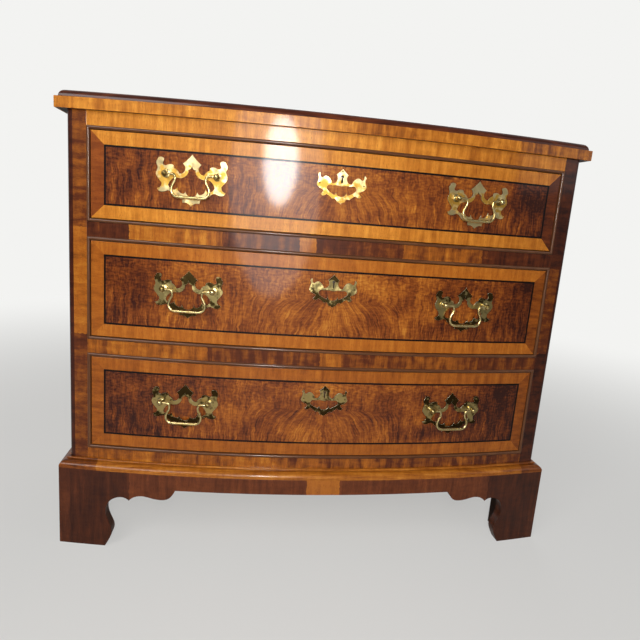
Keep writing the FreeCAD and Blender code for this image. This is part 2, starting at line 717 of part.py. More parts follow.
def pin_hole(side_of, z):
    """Blind hole in a ball head, from the side that faces the other post."""
    stop = side_of * (HANDLE_SPACING / 2 + PIN_PAST_CENTRE + PIN_CLEARANCE)
    start = brass_point(stop, PIVOT_STANDOFF, z)
    length = BALL_RADIUS + PIN_PAST_CENTRE + CUT_PAST
    radius = PIN_RADIUS + PIN_CLEARANCE
    return Part.makeCylinder(radius, length, start, Vector(-side_of, 0, 0))


def handle_nut(side_of, z):
    t = side_of * HANDLE_SPACING / 2
    seat = nut_seat()
    half = NUT_SIZE / 2
    y0 = -FRONT_BOW - seat
    block = box(t - half, t + half, y0, y0 + NUT_THICKNESS, z - half, z + half)
    hole = outward_rod(t, z, SHANK_RADIUS + NUT_CLEARANCE, seat - 2 * NUT_THICKNESS, seat + CUT_PAST)
    return block.cut(hole)


def rounded_path(points, radii):
    """Straight runs joined by tangent arcs, as one wire."""
    edges = []
    start = points[0]
    for before, corner, after, radius in zip(points, points[1:], points[2:], radii):
        back = (before - corner).normalize()
        on = (after - corner).normalize()
        half_turn = (math.pi - back.getAngle(on)) / 2
        reach = radius * math.tan(half_turn)
        first = corner + back * reach
        last = corner + on * reach
        bisector = (back + on).normalize()
        middle = corner + bisector * (radius / math.cos(half_turn) - radius)
        edges.append(Part.makeLine(start, first))
        edges.append(Part.Arc(first, middle, last).toShape())
        start = last
    edges.append(Part.makeLine(start, points[-1]))
    return Part.Wire(edges)


def bail(z):
    """Swan-necked bail, hanging, with its two ends turned out into the posts."""
    pivot = HANDLE_SPACING / 2
    shoulder = pivot - BALL_RADIUS - BAIL_SHOULDER_GAP
    corners = [
        (pivot + PIN_PAST_CENTRE, 0.0),
        (BAIL_NECK, 0.0),
        (BAIL_WAIST, -0.28 * BAIL_DROP),
        (BAIL_BELLY, -0.6 * BAIL_DROP),
        (BAIL_FOOT, -BAIL_DROP),
    ]
    right = [brass_point(t, PIVOT_STANDOFF, z + drop) for t, drop in corners]
    left = [brass_point(-t, PIVOT_STANDOFF, z + drop) for t, drop in reversed(corners)]
    path = rounded_path(right + left, BAIL_TURNS + BAIL_TURNS[::-1])
    start = path.Edges[0].Vertexes[0].Point
    section = Part.Wire([Part.Circle(start, Vector(1, 0, 0), BAIL_RADIUS).toShape()])
    shape = path.makePipeShell([section], True, False)
    for side_of in (-1, 1):
        end = brass_point(side_of * (pivot + PIN_PAST_CENTRE), PIVOT_STANDOFF, z)
        length = pivot + PIN_PAST_CENTRE - shoulder
        rod = Part.makeCylinder(2 * BAIL_RADIUS, length, end, Vector(-side_of, 0, 0))
        pin = Part.makeCylinder(PIN_RADIUS, length, end, Vector(-side_of, 0, 0))
        shape = shape.cut(rod.cut(pin))
    return shape


def escutcheon(z):
    plate = pierced_plate(ESCUTCHEON_OUTLINE, ESCUTCHEON_OPENING, z)
    plate = plate.cut(keyhole(z + KEYHOLE_RISE, 0, 2 * PLATE_THICKNESS))
    face = SEAT_GAP + PLATE_THICKNESS
    pins = []
    for t, rise in ESCUTCHEON_PINS:
        shank = outward_rod(t, z + rise, PIN_SHANK_RADIUS, face - PIN_LENGTH, face)
        head = Part.makeSphere(PIN_HEAD_RADIUS, brass_point(t, face, z + rise))
        ahead = outward_rod(t, z + rise, 2 * PIN_HEAD_RADIUS, face, face + 2 * PIN_HEAD_RADIUS)
        head = head.common(ahead)
        pins.append(shank.fuse(head).removeSplitter())
        plate = plate.cut(shank)
    return plate, pins


def lock_and_bolt(key_z, top):
    """A box lock let into the back of the drawer front, and its sliding bolt."""
    half = LOCK_WIDTH / 2
    case = box(-half, half, LOCK_FACE, LOCK_BACK, key_z - LOCK_BELOW_KEY, top)
    wide = BOLT_WIDTH / 2 + BOLT_CLEARANCE
    thick = BOLT_THICKNESS / 2 + BOLT_CLEARANCE
    floor = key_z - BOLT_TAIL - BOLT_CLEARANCE
    case = case.cut(box(-wide, wide, BOLT_MIDDLE - thick, BOLT_MIDDLE + thick, floor, top))
    wall = (LOCK_THICKNESS - 2 * thick) / 2
    case = case.cut(keyhole(key_z, -FRONT_BOW - LOCK_FACE - wall, -FRONT_BOW - LOCK_FACE))
    pin = outward_rod(
        0, key_z, LOCK_PIN_RADIUS, -FRONT_BOW - LOCK_BACK + wall / 2, -FRONT_BOW - LOCK_FACE
    )
    case = case.fuse(pin).removeSplitter()
    half = BOLT_WIDTH / 2
    y0 = BOLT_MIDDLE - BOLT_THICKNESS / 2
    bolt = box(-half, half, y0, y0 + BOLT_THICKNESS, key_z - BOLT_TAIL, top)
    slot = LOCK_PIN_RADIUS + BOLT_CLEARANCE
    clear = box(-slot, slot, y0, y0 + BOLT_THICKNESS, key_z - BOLT_TAIL, key_z + slot)
    return case, bolt.cut(clear)


def drawer(index):
    """All the pieces of one drawer, by name."""
    name = "drawer_%d_" % (len(OPENINGS) - index)
    z0, z1 = drawer_span(index)
    side_top = z1 - DRAWER_SIDE_DROP
    post_z = (z0 + z1) / 2 + HANDLE_RISE
    key_z = z1 - KEYHOLE_DEPTH
    front = bowed_strip(-DRAWER_HALF, DRAWER_HALF, 0, -DRAWER_FRONT_THICKNESS, z0, z1)

    tip = bow_y(DRAWER_HALF) + FRONT_LAP
    root = bow_y(DRAWER_HALF, -DRAWER_FRONT_THICKNESS) + CUT_PAST
    front_tails = tails(SIDE_INNER, DRAWER_HALF, tip, root, z0, side_top)
    panel_z = z0 + DRAWER_BOTTOM_RISE
    back_z = panel_z + DRAWER_BOTTOM_THICKNESS
    joint = DRAWER_REAR - DRAWER_BACK_THICKNESS
    rear_tails = tails(
        SIDE_INNER, DRAWER_HALF, DRAWER_REAR, joint - CUT_PAST, back_z, side_top - DRAWER_BACK_DROP
    )
    panel_half = SIDE_INNER + GROOVE_DEPTH
    panel = bowed_board(
        -panel_half,
        panel_half,
        GROOVE_DEPTH - DRAWER_FRONT_THICKNESS,
        DRAWER_REAR,
        panel_z,
        back_z,
    )
    right = box(SIDE_INNER, DRAWER_HALF, tip, joint, z0, side_top).cut(front)
    right = right.multiFuse(front_tails + rear_tails).removeSplitter().cut(panel)
    back = box(
        -DRAWER_HALF,
        DRAWER_HALF,
        joint,
        DRAWER_REAR,
        back_z,
        side_top - DRAWER_BACK_DROP,
    )
    for tail in rear_tails:
        back = back.cut(tail).cut(mirrored(tail))

    band_inner = BAND_WIDTH + STRING_WIDTH
    field = seen_from_front(
        [
            (-DRAWER_HALF + band_inner, z0 + band_inner),
            (DRAWER_HALF - band_inner, z0 + band_inner),
            (DRAWER_HALF - band_inner, z1 - band_inner),
            (-DRAWER_HALF + band_inner, z1 - band_inner),
        ]
    )
    skin = bowed_strip(-DRAWER_HALF, DRAWER_HALF, 0, -VENEER_THICKNESS, z0, z1)
    bands = [
        skin.common(seen_from_front(region))
        for region in frame_sides(DRAWER_HALF, z0, z1, BAND_WIDTH)
    ]
    strings = [
        skin.common(seen_from_front(region))
        for region in frame_sides(
            DRAWER_HALF - BAND_WIDTH, z0 + BAND_WIDTH, z1 - BAND_WIDTH, STRING_WIDTH
        )
    ]
    front = front.cut(skin.cut(field)).cut(panel)
    for tail in front_tails:
        front = front.cut(tail).cut(mirrored(tail))
    lock, bolt = lock_and_bolt(key_z, z1)
    half = LOCK_WIDTH / 2
    pocket = box(-half, half, LOCK_FACE, RAIL_DEPTH, key_z - LOCK_BELOW_KEY, z1)
    front = front.cut(pocket).cut(keyhole(key_z, -DRAWER_FRONT_THICKNESS, CUT_PAST))
    plate, pins = escutcheon(key_z - KEYHOLE_RISE)
    for pin in pins:
        front = front.cut(pin)

    plates, posts, bails = [], [], []
    for place in (-HANDLE_PLACE, HANDLE_PLACE):
        plates.append(turned_to(handle_plate(post_z), place))
        bails.append(turned_to(bail(post_z), place))
        for side_of in (-1, 1):
            posts.append(turned_to(handle_post(side_of, post_z), place))
            posts.append(turned_to(handle_nut(side_of, post_z), place))
            t = side_of * HANDLE_SPACING / 2
            radius = SHANK_RADIUS + SHANK_CLEARANCE
            hole = outward_rod(t, post_z, radius, -2 * DRAWER_FRONT_THICKNESS, CUT_PAST)
            front = front.cut(turned_to(hole, place))

    return {
        name + "front": front,
        name + "crossbanding": group(bands),
        name + "stringing": group(strings),
        name + "sides": group([right, mirrored(right)]),
        name + "back": back,
        name + "bottom": panel,
        name + "lock": lock,
        name + "bolt": bolt,
        name + "escutcheon": group([plate] + pins),
        name + "handle_plates": group(plates),
        name + "handle_posts": group(posts),
        name + "bail_left": bails[0],
        name + "bail_right": bails[1],
    }


# ---------------------------------------------------------------- assembly
def chest():
    pieces = rails()
    housed = list(pieces.values()) + [bottom_board()]
    right_side = side(housed)
    boards = dustboards()
    for name in ("lower_rail", "upper_rail"):
        for board in boards:
            pieces[name] = pieces[name].cut(board)
    pieces["bottom_rail"] = pieces["bottom_rail"].cut(bottom_board())
    apron = front_apron()
    bracket = side_bracket()
    rear = rear_bracket()
    right_stile = stile()
    beads = []
    for z0, z1 in OPENINGS:
        beads += cock_bead(z0, z1)
    pieces.update(
        {
            "top_board": top_board(),
            "top_edge_band": group(top_edge_band()),
            "side_left": mirrored(right_side),
            "side_right": right_side,
            "front_stiles": group([right_stile, mirrored(right_stile)]),
            "cock_beads": group(beads),
            "dustboards": group(boards),
            "drawer_runners": group(runners()),
            "drawer_guides": group(guides()),
            "drawer_stops": group(stops()),
            "back_panel": back_panel(),
            "bottom_board": bottom_board(),
            "base_moulding": group(base_moulding()),
            "front_apron": apron,
            "side_brackets": group([bracket, mirrored(bracket)]),
            "rear_brackets": group([rear, mirrored(rear)]),
            "foot_blocks": group(foot_blocks(apron)),
        }
    )
    for index in range(len(OPENINGS)):
        pieces.update(drawer(index))
    return pieces


def export(pieces):
    os.makedirs("parts", exist_ok=True)
    low = min(shape.BoundBox.YMin for shape in pieces.values())
    high = max(shape.BoundBox.YMax for shape in pieces.values())
    shift = Vector(0, -(low + high) / 2, 0)
    for name, shape in sorted(pieces.items()):
        placed = shape.copy()
        placed.translate(shift)
        placed.exportStep("parts/%s.step" % name)
        if not placed.isValid():
            print("not valid:", name)
    print(len(pieces), "nodes; moved along y by", round(shift.y, 3), "mm")


export(chest())
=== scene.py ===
# %% [markdown]
# # A bow front chest of drawers
# The chest stands on bracket feet and holds three long drawers behind a curved,
# veneered front. The joiner's solids arrive as a frame that may not be moved. This
# lesson gives each of them its wood, polish or brass, and makes afresh the pieces
# whose shape is a rule: beads, mouldings, moulded top and handles.

# %% The frame and its bodies
import math

import bmesh
import bpy
from mathutils import Matrix, Vector
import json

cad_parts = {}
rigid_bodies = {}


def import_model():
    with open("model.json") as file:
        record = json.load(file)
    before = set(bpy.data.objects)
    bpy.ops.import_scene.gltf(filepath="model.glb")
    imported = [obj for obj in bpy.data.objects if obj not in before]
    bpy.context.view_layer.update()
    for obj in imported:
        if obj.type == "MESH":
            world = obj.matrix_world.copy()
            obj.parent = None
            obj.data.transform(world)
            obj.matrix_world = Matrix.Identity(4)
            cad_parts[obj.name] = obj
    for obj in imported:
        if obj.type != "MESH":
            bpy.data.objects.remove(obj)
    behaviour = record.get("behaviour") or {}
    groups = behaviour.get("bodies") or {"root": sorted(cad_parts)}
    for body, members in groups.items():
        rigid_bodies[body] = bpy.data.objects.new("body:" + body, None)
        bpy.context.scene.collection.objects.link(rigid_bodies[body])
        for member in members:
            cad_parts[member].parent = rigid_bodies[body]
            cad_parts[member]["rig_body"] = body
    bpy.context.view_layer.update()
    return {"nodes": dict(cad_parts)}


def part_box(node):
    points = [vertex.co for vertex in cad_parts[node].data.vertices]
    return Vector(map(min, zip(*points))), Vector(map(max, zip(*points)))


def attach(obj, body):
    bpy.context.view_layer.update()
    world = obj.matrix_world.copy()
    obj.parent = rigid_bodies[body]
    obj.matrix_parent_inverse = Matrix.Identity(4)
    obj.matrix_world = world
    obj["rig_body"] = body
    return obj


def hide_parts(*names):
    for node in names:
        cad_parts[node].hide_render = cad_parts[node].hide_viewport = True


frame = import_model()

# %% [markdown]
# ## Sizes
# Every curve of the front is struck from one centre behind the chest. Its radius
# follows from the width of the case and from how far the middle stands proud, so
# both are written once and everything else asks for the depth of the bow at some x.

# %% The bow of the front
MM = 0.001
HALF = 433.5 * MM
FRONT_BOW = 39.5 * MM
DEPTH_AT_CORNER = 447 * MM
OPENING_HALF = 402.5 * MM
DRAWER_HALF = 396 * MM
END_OVERHANG = 17 * MM
FRONT_OVERHANG = 7 * MM
BACK_OVERHANG = 6 * MM
CORNER_ROUND = 9 * MM
VENEER = 1 * MM
BOW_RADIUS = (HALF**2 + FRONT_BOW**2) / (2 * FRONT_BOW)
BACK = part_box("back_panel")[1].y
BOW_CENTRE = BACK - DEPTH_AT_CORNER + BOW_RADIUS - FRONT_BOW


def bow_depth(x, out=0.0):
    """Depth at x of a curve that runs that far outside the front."""
    return BOW_CENTRE - math.sqrt((BOW_RADIUS + out) ** 2 - x * x)


print("bow radius", round(BOW_RADIUS, 3), "m; middle of the front at y", round(bow_depth(0), 4))

# %% Openings and drawers, the top one first
BEAD_WIDTH = 5.5 * MM
DRAWER_GAP = 1 * MM
DRAWERS = (1, 2, 3)
FRONTS = {}
OPENINGS = {}
for number in DRAWERS:
    low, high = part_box("drawer_%d_crossbanding" % number)
    FRONTS[number] = (low.z, high.z)
    margin = BEAD_WIDTH + DRAWER_GAP
    OPENINGS[number] = (low.z - margin, high.z + margin)
    print("drawer", number, "front", round(low.z, 4), "to", round(high.z, 4))

# %% [markdown]
# ## Colours and nodes
# Colours are written as the hex values that a painter would pick off a screen. The
# renderer works in linear light, so one function turns them. Another adds any node to
# any tree, sets its options and wires its inputs in one line.

# %% Linear colour and the node helper


def linear(hex_colour):
    parts = [int(hex_colour[i : i + 2], 16) / 255 for i in (1, 3, 5)]
    return [c / 12.92 if c <= 0.04045 else ((c + 0.055) / 1.055) ** 2.4 for c in parts] + [1]


MATH, VECTOR, NOISE = "ShaderNodeMath", "ShaderNodeVectorMath", "ShaderNodeTexNoise"
COMBINE, SEPARATE = "ShaderNodeCombineXYZ", "ShaderNodeSeparateXYZ"
RAMP, RANGE, BUMP = "ShaderNodeValToRGB", "ShaderNodeMapRange", "ShaderNodeBump"
# the mix node's factor is its input 0; it mixes inputs 2 and 3 as numbers, 6 and 7 as colours
MIX = "ShaderNodeMix"


def fill(tree, node, inputs):
    """Gives a node's sockets, by name or number, values, sockets or the results of nodes."""
    for socket, value in inputs.items():
        if isinstance(value, bpy.types.Node):
            value = next(output for output in value.outputs if output.enabled)
        if isinstance(value, bpy.types.NodeSocket):
            tree.links.new(value, node.inputs[socket])
        else:
            node.inputs[socket].default_value = value


def add(tree, kind, inputs=(), operation=None, stops=(), **options):
    """Adds a node and fills its inputs, in order or by name; stops are those of a ramp."""
    node = tree.nodes.new(kind)
    if operation:
        node.operation = operation
    for option, value in options.items():
        setattr(node, option, value)
    fill(tree, node, inputs if isinstance(inputs, dict) else dict(enumerate(inputs)))
    if stops:
        ramp = node.color_ramp.elements
        while len(ramp) > 1:
            ramp.remove(ramp[0])
        for count, (place, colour) in enumerate(stops):
            stop = ramp[0] if count == 0 else ramp.new(place)
            stop.position = place
            stop.color = linear(colour) if isinstance(colour, str) else [colour] * 3 + [1]
    return node


def spread(tones):
    """Stops that space the tones evenly over a whole ramp."""
    return [(count / (len(tones) - 1), tone) for count, tone in enumerate(tones)]


print("brass base as linear light:", [round(c, 3) for c in linear("#cdb980")])

# %% Starting a material
def start_material(name):
    """A new material with its tree, its shader and the place of each point in mm."""
    material = bpy.data.materials.new(name)
    material.use_nodes = True
    tree = material.node_tree
    place = add(tree, "ShaderNodeTexCoord").outputs["Object"]
    place = add(tree, VECTOR, {0: place, "Scale": 1 / MM}, "SCALE")
    return material, tree, tree.nodes["Principled BSDF"], place


SHELLAC = {
    "IOR": 1.5, "Specular IOR Level": 0.15, "Coat Weight": 0.6, "Coat Roughness": 0.09,
    "Coat IOR": 1.42,
}
print("shellac:", SHELLAC)

# %% [markdown]
# ## Woods under French polish
# The case is veneered in walnut and the base is mahogany, both under shellac that was
# rubbed on with a pad until it shone like glass. A picture wrapped round the solids
# would be the quick way, but it repeats and blurs close up. Here the grain is grown
# from noise: fibres are noise pulled out along the grain, so each wood needs only its
# tones, the way its grain runs, and how wide and long its streaks are in millimetres.
#
# The polish is a clear coat over the wood: it gives the eye a sharp, pale reflection
# on top of a deep colour, which no plain gloss does.

# %% Solid and veneered wood
RIPPLE = (26, 9)
PORE = (0.45, 5)
JOINT_WANDER = 7.0
LAYERS = (
    # detail, roughness, distortion, seed: streaks, fibres, ripple
    (3, 0.5, 0.35, 0), (4, 0.6, 0.35, 0), (1.5, 0.5, 0.8, 7),
)
STREAK_WEIGHT, FIBRE_WEIGHT = 1.1, 0.5
PORE_SHADE = {"From Min": 0.64, "From Max": 0.74, "To Max": 0.45}
SHEEN = {"To Min": 0.34, "To Max": 0.5}
GRAIN_RELIEF = {"Strength": 0.12, "Distance": 0.08 * MM}


def polished_wood(
    name, tones, grain, streak=(7, 150), fibre=(0.9, 22), curl=0.0, leaves=None, even=0.5,
    contrast=1.0, coat=0.6, seed=0.0, skin=None, core=("#a87c48", "#c99d62"),
):
    """A wood. grain is the axis it runs along; streak and fibre are (across, along) in mm.

    leaves gives (axis, [(start in mm, tone), ...]) where short lengths of veneer meet.
    skin is a rule that is 1 where another wood shows, and on the stiles' darker round corners.
    """
    material, tree, shader, place = start_material(name)
    drawn = []
    for across, along in (streak, fibre, RIPPLE, PORE):
        stretch = [1 / (along if axis == grain else across) for axis in "XYZ"]
        drawn.append(add(tree, VECTOR, (place, stretch), "MULTIPLY"))
    layers = []
    for where, (detail, roughness, distortion, shift) in zip(drawn, LAYERS):
        layers.append(add(
            tree, NOISE,
            {"Vector": where, "W": seed + shift, "Scale": 1.0, "Detail": detail,
             "Roughness": roughness, "Distortion": distortion},
            noise_dimensions="4D",
        ))
    streaks, fibres, ripple = layers
    tone = even
    if leaves:
        axis, joints = leaves
        start, finish = joints[0][0], joints[-1][0]
        along = add(tree, SEPARATE, (place,)).outputs[axis]
        wander = add(
            tree, MATH, (ripple, JOINT_WANDER, -JOINT_WANDER / 2), operation="MULTIPLY_ADD"
        )
        along = add(tree, MATH, (along, wander), "ADD")
        share = add(tree, RANGE, {"Value": along, "From Min": start, "From Max": finish})
        stops = [((joint - start) / (finish - start), level) for joint, level in joints[:-1]]
        tone = add(tree, RAMP, (share,), stops=stops)
        tone.color_ramp.interpolation = "CONSTANT"
    weights = (STREAK_WEIGHT * contrast, FIBRE_WEIGHT * contrast, curl)
    for layer, weight in zip(layers, weights):
        centred = add(tree, MATH, (layer, weight, -0.5 * weight), "MULTIPLY_ADD")
        tone = add(tree, MATH, (centred, tone), "ADD")
    colour = add(tree, RAMP, (tone,), stops=spread(tones))
    pores = add(tree, NOISE, {"Vector": drawn[3], "Scale": 1.0, "Detail": 0.0})
    pores = add(tree, RANGE, {"Value": pores, **PORE_SHADE})
    colour = add(tree, MIX, {0: pores, 6: colour, 7: linear(tones[0])}, data_type="RGBA")
    if skin:
        bare = add(tree, RAMP, (streaks,), stops=[(0.3, core[0]), (0.7, core[1])])
        colour = add(tree, MIX, {0: skin(tree, place), 6: colour, 7: bare}, data_type="RGBA")
    bump = add(tree, BUMP, {"Height": fibres, **GRAIN_RELIEF})
    sheen = add(tree, RANGE, {"Value": streaks, **SHEEN})
    look = {"Base Color": colour, "Roughness": sheen, "Normal": bump}
    fill(tree, shader, {**SHELLAC, **look, "Coat Weight": coat})
    return material


# %% [markdown]
# Veneer is only about a millimetre thick, so where a board's edge or back shows, the
# cheaper wood under it does too. These two rules tell the polish where the skin ends, and a
# third makes the round corners of the stiles darker.

# %% Where the veneer's skin ends
def reach_from_axis(tree, place):
    """How far a point is from the upright line that the bow is struck from, in mm."""
    level = add(tree, VECTOR, (place, (0, -BOW_CENTRE / MM, 0)), "ADD")
    flat = add(tree, VECTOR, (level, (1, 1, 0)), "MULTIPLY")
    return add(tree, VECTOR, (flat,), "LENGTH")


def behind_bow(depth):
    """A rule: 1 where a point lies deeper than depth behind the bowed front."""

    def rule(tree, place):
        edge = (BOW_RADIUS - depth) / MM
        return add(tree, MATH, (reach_from_axis(tree, place), edge), "LESS_THAN")

    return rule


def beside(half_width, comparison):
    """A rule: 1 where a point is nearer the middle, or farther from it, than that."""

    def rule(tree, place):
        across = add(tree, SEPARATE, (place,)).outputs["X"]
        away = add(tree, MATH, (across,), "ABSOLUTE")
        return add(tree, MATH, (away, half_width / MM), comparison)

    return rule


skin_front = behind_bow(VENEER)
skin_side = beside(HALF - VENEER, "LESS_THAN")
# the round corners of the stiles come out darker, in the two tones of CORNER
round_corner = beside(HALF - CORNER_ROUND, "GREATER_THAN")
print("rules for the bowed front, the sides and the round corners")

# %% [markdown]
# ## The woods of this chest
# Tones run from the darkest pore to the brightest fibre. Crossbanding is cut so that
# its grain stands square to the edge that it follows; rails and stiles are pieced from
# short leaves of two or three different flitches, which is why they change colour. The
# right stile, the right upright bands and the right ends of the fields are also painted
# darker, a painted shade on that side of the chest.
# Linings and the inside of the case are bare oak and pine, dull and dry to the eye.

# %% Tones of walnut, mahogany and the bare woods
GOLDEN = ("#69330a", "#a55f17", "#c87e27", "#e6a03c")
AMBER = ("#4f2006", "#88460f", "#ab6119", "#c98029")
RUSSET = ("#341206", "#6a300d", "#8e4814", "#ab6420")
MIXED = ("#270b04", "#5a280d", "#a15a15", "#cf892c")
APRON = ("#260d05", "#4c220d", "#71391a", "#a8621f")
MOULD = ("#451d09", "#7d400e", "#a9641c", "#c98634")
CORNER = ("#2c0f05", "#4a1d0b")
# painted shade: near black tones for the underside of the top and the foot blocks, where shade
# falls
UNDERSIDE_SHADE = ("#190c06", "#2b170c", "#3d2212")
EBONISED = ("#030201", "#070403", "#0e0805")
BEAD = ("#371a0c", "#5b361d", "#825934")
OAK = ("#6d4f2d", "#94703f", "#b38d57", "#c8a571")
PINE = ("#8c6230", "#b98c4f", "#d3aa6c", "#e0bd84")
print("bead tones:", BEAD)

# %% Leaves: where each length of veneer starts, in mm, and how light it is
TOP_EDGE = ("X", [(-451, 0.56), (10, 0.32), (165, 0.46), (300, 0.28), (451, 0)])
TOP_RAIL = ("X", [(-434, 0.62), (-150, 0.68), (60, 0.56), (205, 0.38), (269, 0.46), (434, 0)])
TOP_BAND = ("X", [(-396, 0.64), (105, 0.48), (290, 0.42), (396, 0)])
UPPER_RAIL = ("X", [(-434, 0.24), (-337, 0.7), (-198, 0.5), (-187, 0.3), (-64, 0.68), (-35, 0.3),
                    (115, 0.52), (259, 0.2), (434, 0)])
LOWER_RAIL = ("X", [(-434, 0.5), (-370, 0.6), (-206, 0.38), (-14, 0.62), (21, 0.42), (140, 0.48),
                    (280, 0.34), (434, 0)])
BOTTOM_RAIL = ("X", [(-434, 0.5), (-330, 0.58), (-60, 0.5), (120, 0.42), (300, 0.34), (434, 0)])
LEFT_STILE = ("Z", [(140, 0.42), (350, 0.3), (379, 0.64), (554, 0.42), (740, 0)])
# painted shade: the right stile's leaves are all painted darker, as that side of the chest is in
# shade
RIGHT_STILE = ("Z", [(140, 0.1), (375, 0.38), (537, 0.12), (740, 0)])
BASE_MOULD = ("X", [(-451, 0.25), (-385, 0.6), (250, 0.5), (400, 0.25), (451, 0)])
FRONT_APRON = ("X", [(-451, 0.36), (-430, 0.24), (-330, 0.5), (-24, 1.0), (36, 0.52), (330, 0.22),
                     (430, 0.3), (451, 0)])


def halves(left, right):
    """Leaves of two flitches for a drawer front's upright bands; the right one has painted shade.
    """
    return "X", [(-DRAWER_HALF / MM, left), (0, right), (DRAWER_HALF / MM, 0)]


print("the upper rail is pieced from", len(UPPER_RAIL[1]) - 1, "leaves")

# %% Mixing the woods
rail = dict(streak=(10, 50), curl=0.4, contrast=0.8, skin=skin_front)
stile = dict(streak=(10, 50), curl=0.3, contrast=0.7, skin=round_corner, core=CORNER)
upright = dict(streak=(8, 60), curl=0.3, contrast=0.8)
level = dict(streak=(6, 60), curl=0.2, contrast=0.8)
edging = dict(streak=(9, 60), curl=0.5, contrast=1.2)
bead = dict(streak=(3, 120), contrast=0.8, coat=0.8)
bracket = dict(streak=(9, 70), curl=0.25, contrast=0.7)
lining = dict(streak=(5, 180), coat=0.05, contrast=0.8)
bare = dict(streak=(11, 300), coat=0.0)
wood = {}
for key, name, tones, grain, seed, shared, own in (
    ("top_rail", "golden_walnut_rail", GOLDEN, "Z", 1, rail,
     dict(streak=(9, 60), curl=0.35, contrast=1.0, leaves=TOP_RAIL)),
    ("upper_rail", "pieced_walnut_upper_rail", MIXED, "Z", 2, rail, dict(leaves=UPPER_RAIL)),
    ("lower_rail", "pieced_walnut_lower_rail", MIXED, "Z", 3, rail, dict(leaves=LOWER_RAIL)),
    ("bottom_rail", "pieced_walnut_bottom_rail", MIXED, "Z", 4, rail,
     dict(streak=(12, 50), contrast=1.0, leaves=BOTTOM_RAIL)),
    ("left_stile", "pieced_walnut_left_stile", MIXED, "X", 5, stile, dict(leaves=LEFT_STILE)),
    ("right_stile", "pieced_walnut_right_stile", MIXED, "X", 6, stile, dict(leaves=RIGHT_STILE)),
    ("side", "side_walnut", RUSSET, "Z", 8, {},
     dict(streak=(16, 320), fibre=(1.4, 40), curl=0.25, even=0.42, skin=skin_side)),
    ("golden_upright", "golden_crossbanding_upright_grain", GOLDEN, "Z", 9, upright,
     dict(leaves=TOP_BAND, contrast=0.9)),
    # the right upright band of each drawer is painted darker than the left, a painted shade
    ("russet_level", "russet_crossbanding_level_grain", RUSSET, "X", 10, level,
     dict(leaves=halves(0.55, 0.16), contrast=0.7)),
    ("amber_upright", "amber_crossbanding_upright_grain", AMBER, "Z", 11, upright, dict(even=0.62)),
    ("amber_level", "amber_crossbanding_level_grain", AMBER, "X", 12, level,
     dict(leaves=halves(0.5, 0.26))),
    ("brown_upright", "brown_crossbanding_upright_grain", AMBER, "Z", 23, upright, dict(even=0.46)),
    ("brown_level", "brown_crossbanding_level_grain", AMBER, "X", 24, level,
     dict(leaves=halves(0.4, 0.26))),
    ("top_edge", "golden_top_edge_upright_grain", GOLDEN, "Z", 13, edging, dict(leaves=TOP_EDGE)),
    ("top_underside", "stained_underside", UNDERSIDE_SHADE, "X", 26, bare, {}),
    ("ebonised", "ebonised_line", EBONISED, "X", 14, {},
     dict(streak=(3, 60), contrast=0.5, coat=0.25)),
    ("bead", "bead_mahogany_long_grain", BEAD, "X", 15, bead, {}),
    ("bead_upright", "bead_mahogany_upright_grain", BEAD, "Z", 25, bead, {}),
    ("base_mould", "base_moulding_walnut_long_grain", MOULD, "X", 16, {},
     dict(streak=(5, 90), curl=0.4, leaves=BASE_MOULD)),
    ("bracket", "bracket_mahogany", APRON, "Z", 17, bracket, dict(leaves=FRONT_APRON)),
    ("side_bracket", "side_bracket_mahogany", APRON, "Z", 18, bracket, dict(even=0.42)),
    ("oak", "drawer_lining_oak", OAK, "Y", 19, lining, {}),
    ("oak_across", "drawer_back_oak", OAK, "X", 20, lining, {}),
    ("pine", "case_pine", PINE, "X", 21, bare, dict(streak=(11, 400), contrast=0.9)),
    ("pine_deep", "bearer_pine", PINE, "Y", 22, bare, dict(contrast=0.9)),
):
    wood[key] = polished_wood(name, tones, grain, seed=seed, **{**shared, **own})
print(len(wood), "woods mixed")

# %% [markdown]
# ## Feathered walnut on the drawer fronts
# The fields are cut where a limb leaves the trunk, so the fibres crowd together. Below
# the keyhole they splay downward like a plume; farther out they stand upright as dark
# and light ribbons, and the upper half is only mottled. The plume is a bend of the place
# before any noise is read: near the middle, x is stretched more and more towards a point
# under the keyhole, so streaks that would stand upright run together there.

# %% Feather figure
BAND = 23
FIGURE = (
    # across and up in mm, detail, weight at the foot, weight at the head, seed, follows the plume:
    # plumes, ribbons, hair, and two sizes of mottle
    (7.5, 55, 2.0, 1.1, 0.45, 2, True),
    (2.4, 26, 2.0, 1.05, 0.6, 3, True),
    (0.9, 12, 1.0, 0.5, 0.45, 4, True),
    (9, 3.5, 2.0, 0.45, 1.0, 5, False),
    (60, 40, 1.0, 0.9, 0.9, 6, False),
)
HAIR = 2  # its row in FIGURE, counted from 0
PLUME_HALF = 78.0
PLUME_TOP = 0.55  # share of the field's height
PLUME_CLOSING = 34.0
MIDDLE_GLOW = 0.1
WAVER = 12.0
WAVER_SIZE = (26, 16, 1)
ENDS = {"From Min": 200.0, "From Max": 385.0, "To Max": -0.24}
# painted shade: the right end of each field is painted darker again, as that side of the chest is
# in shade
RIGHT_END_PAINTED_SHADE = {"From Min": 150.0, "From Max": 385.0, "To Max": -0.12}
KNOT_SIZE = (95, 1, 34)
KNOT_FADE = {"From Min": 0.06, "From Max": 0.12, "To Min": 0.7, "To Max": 0.0}


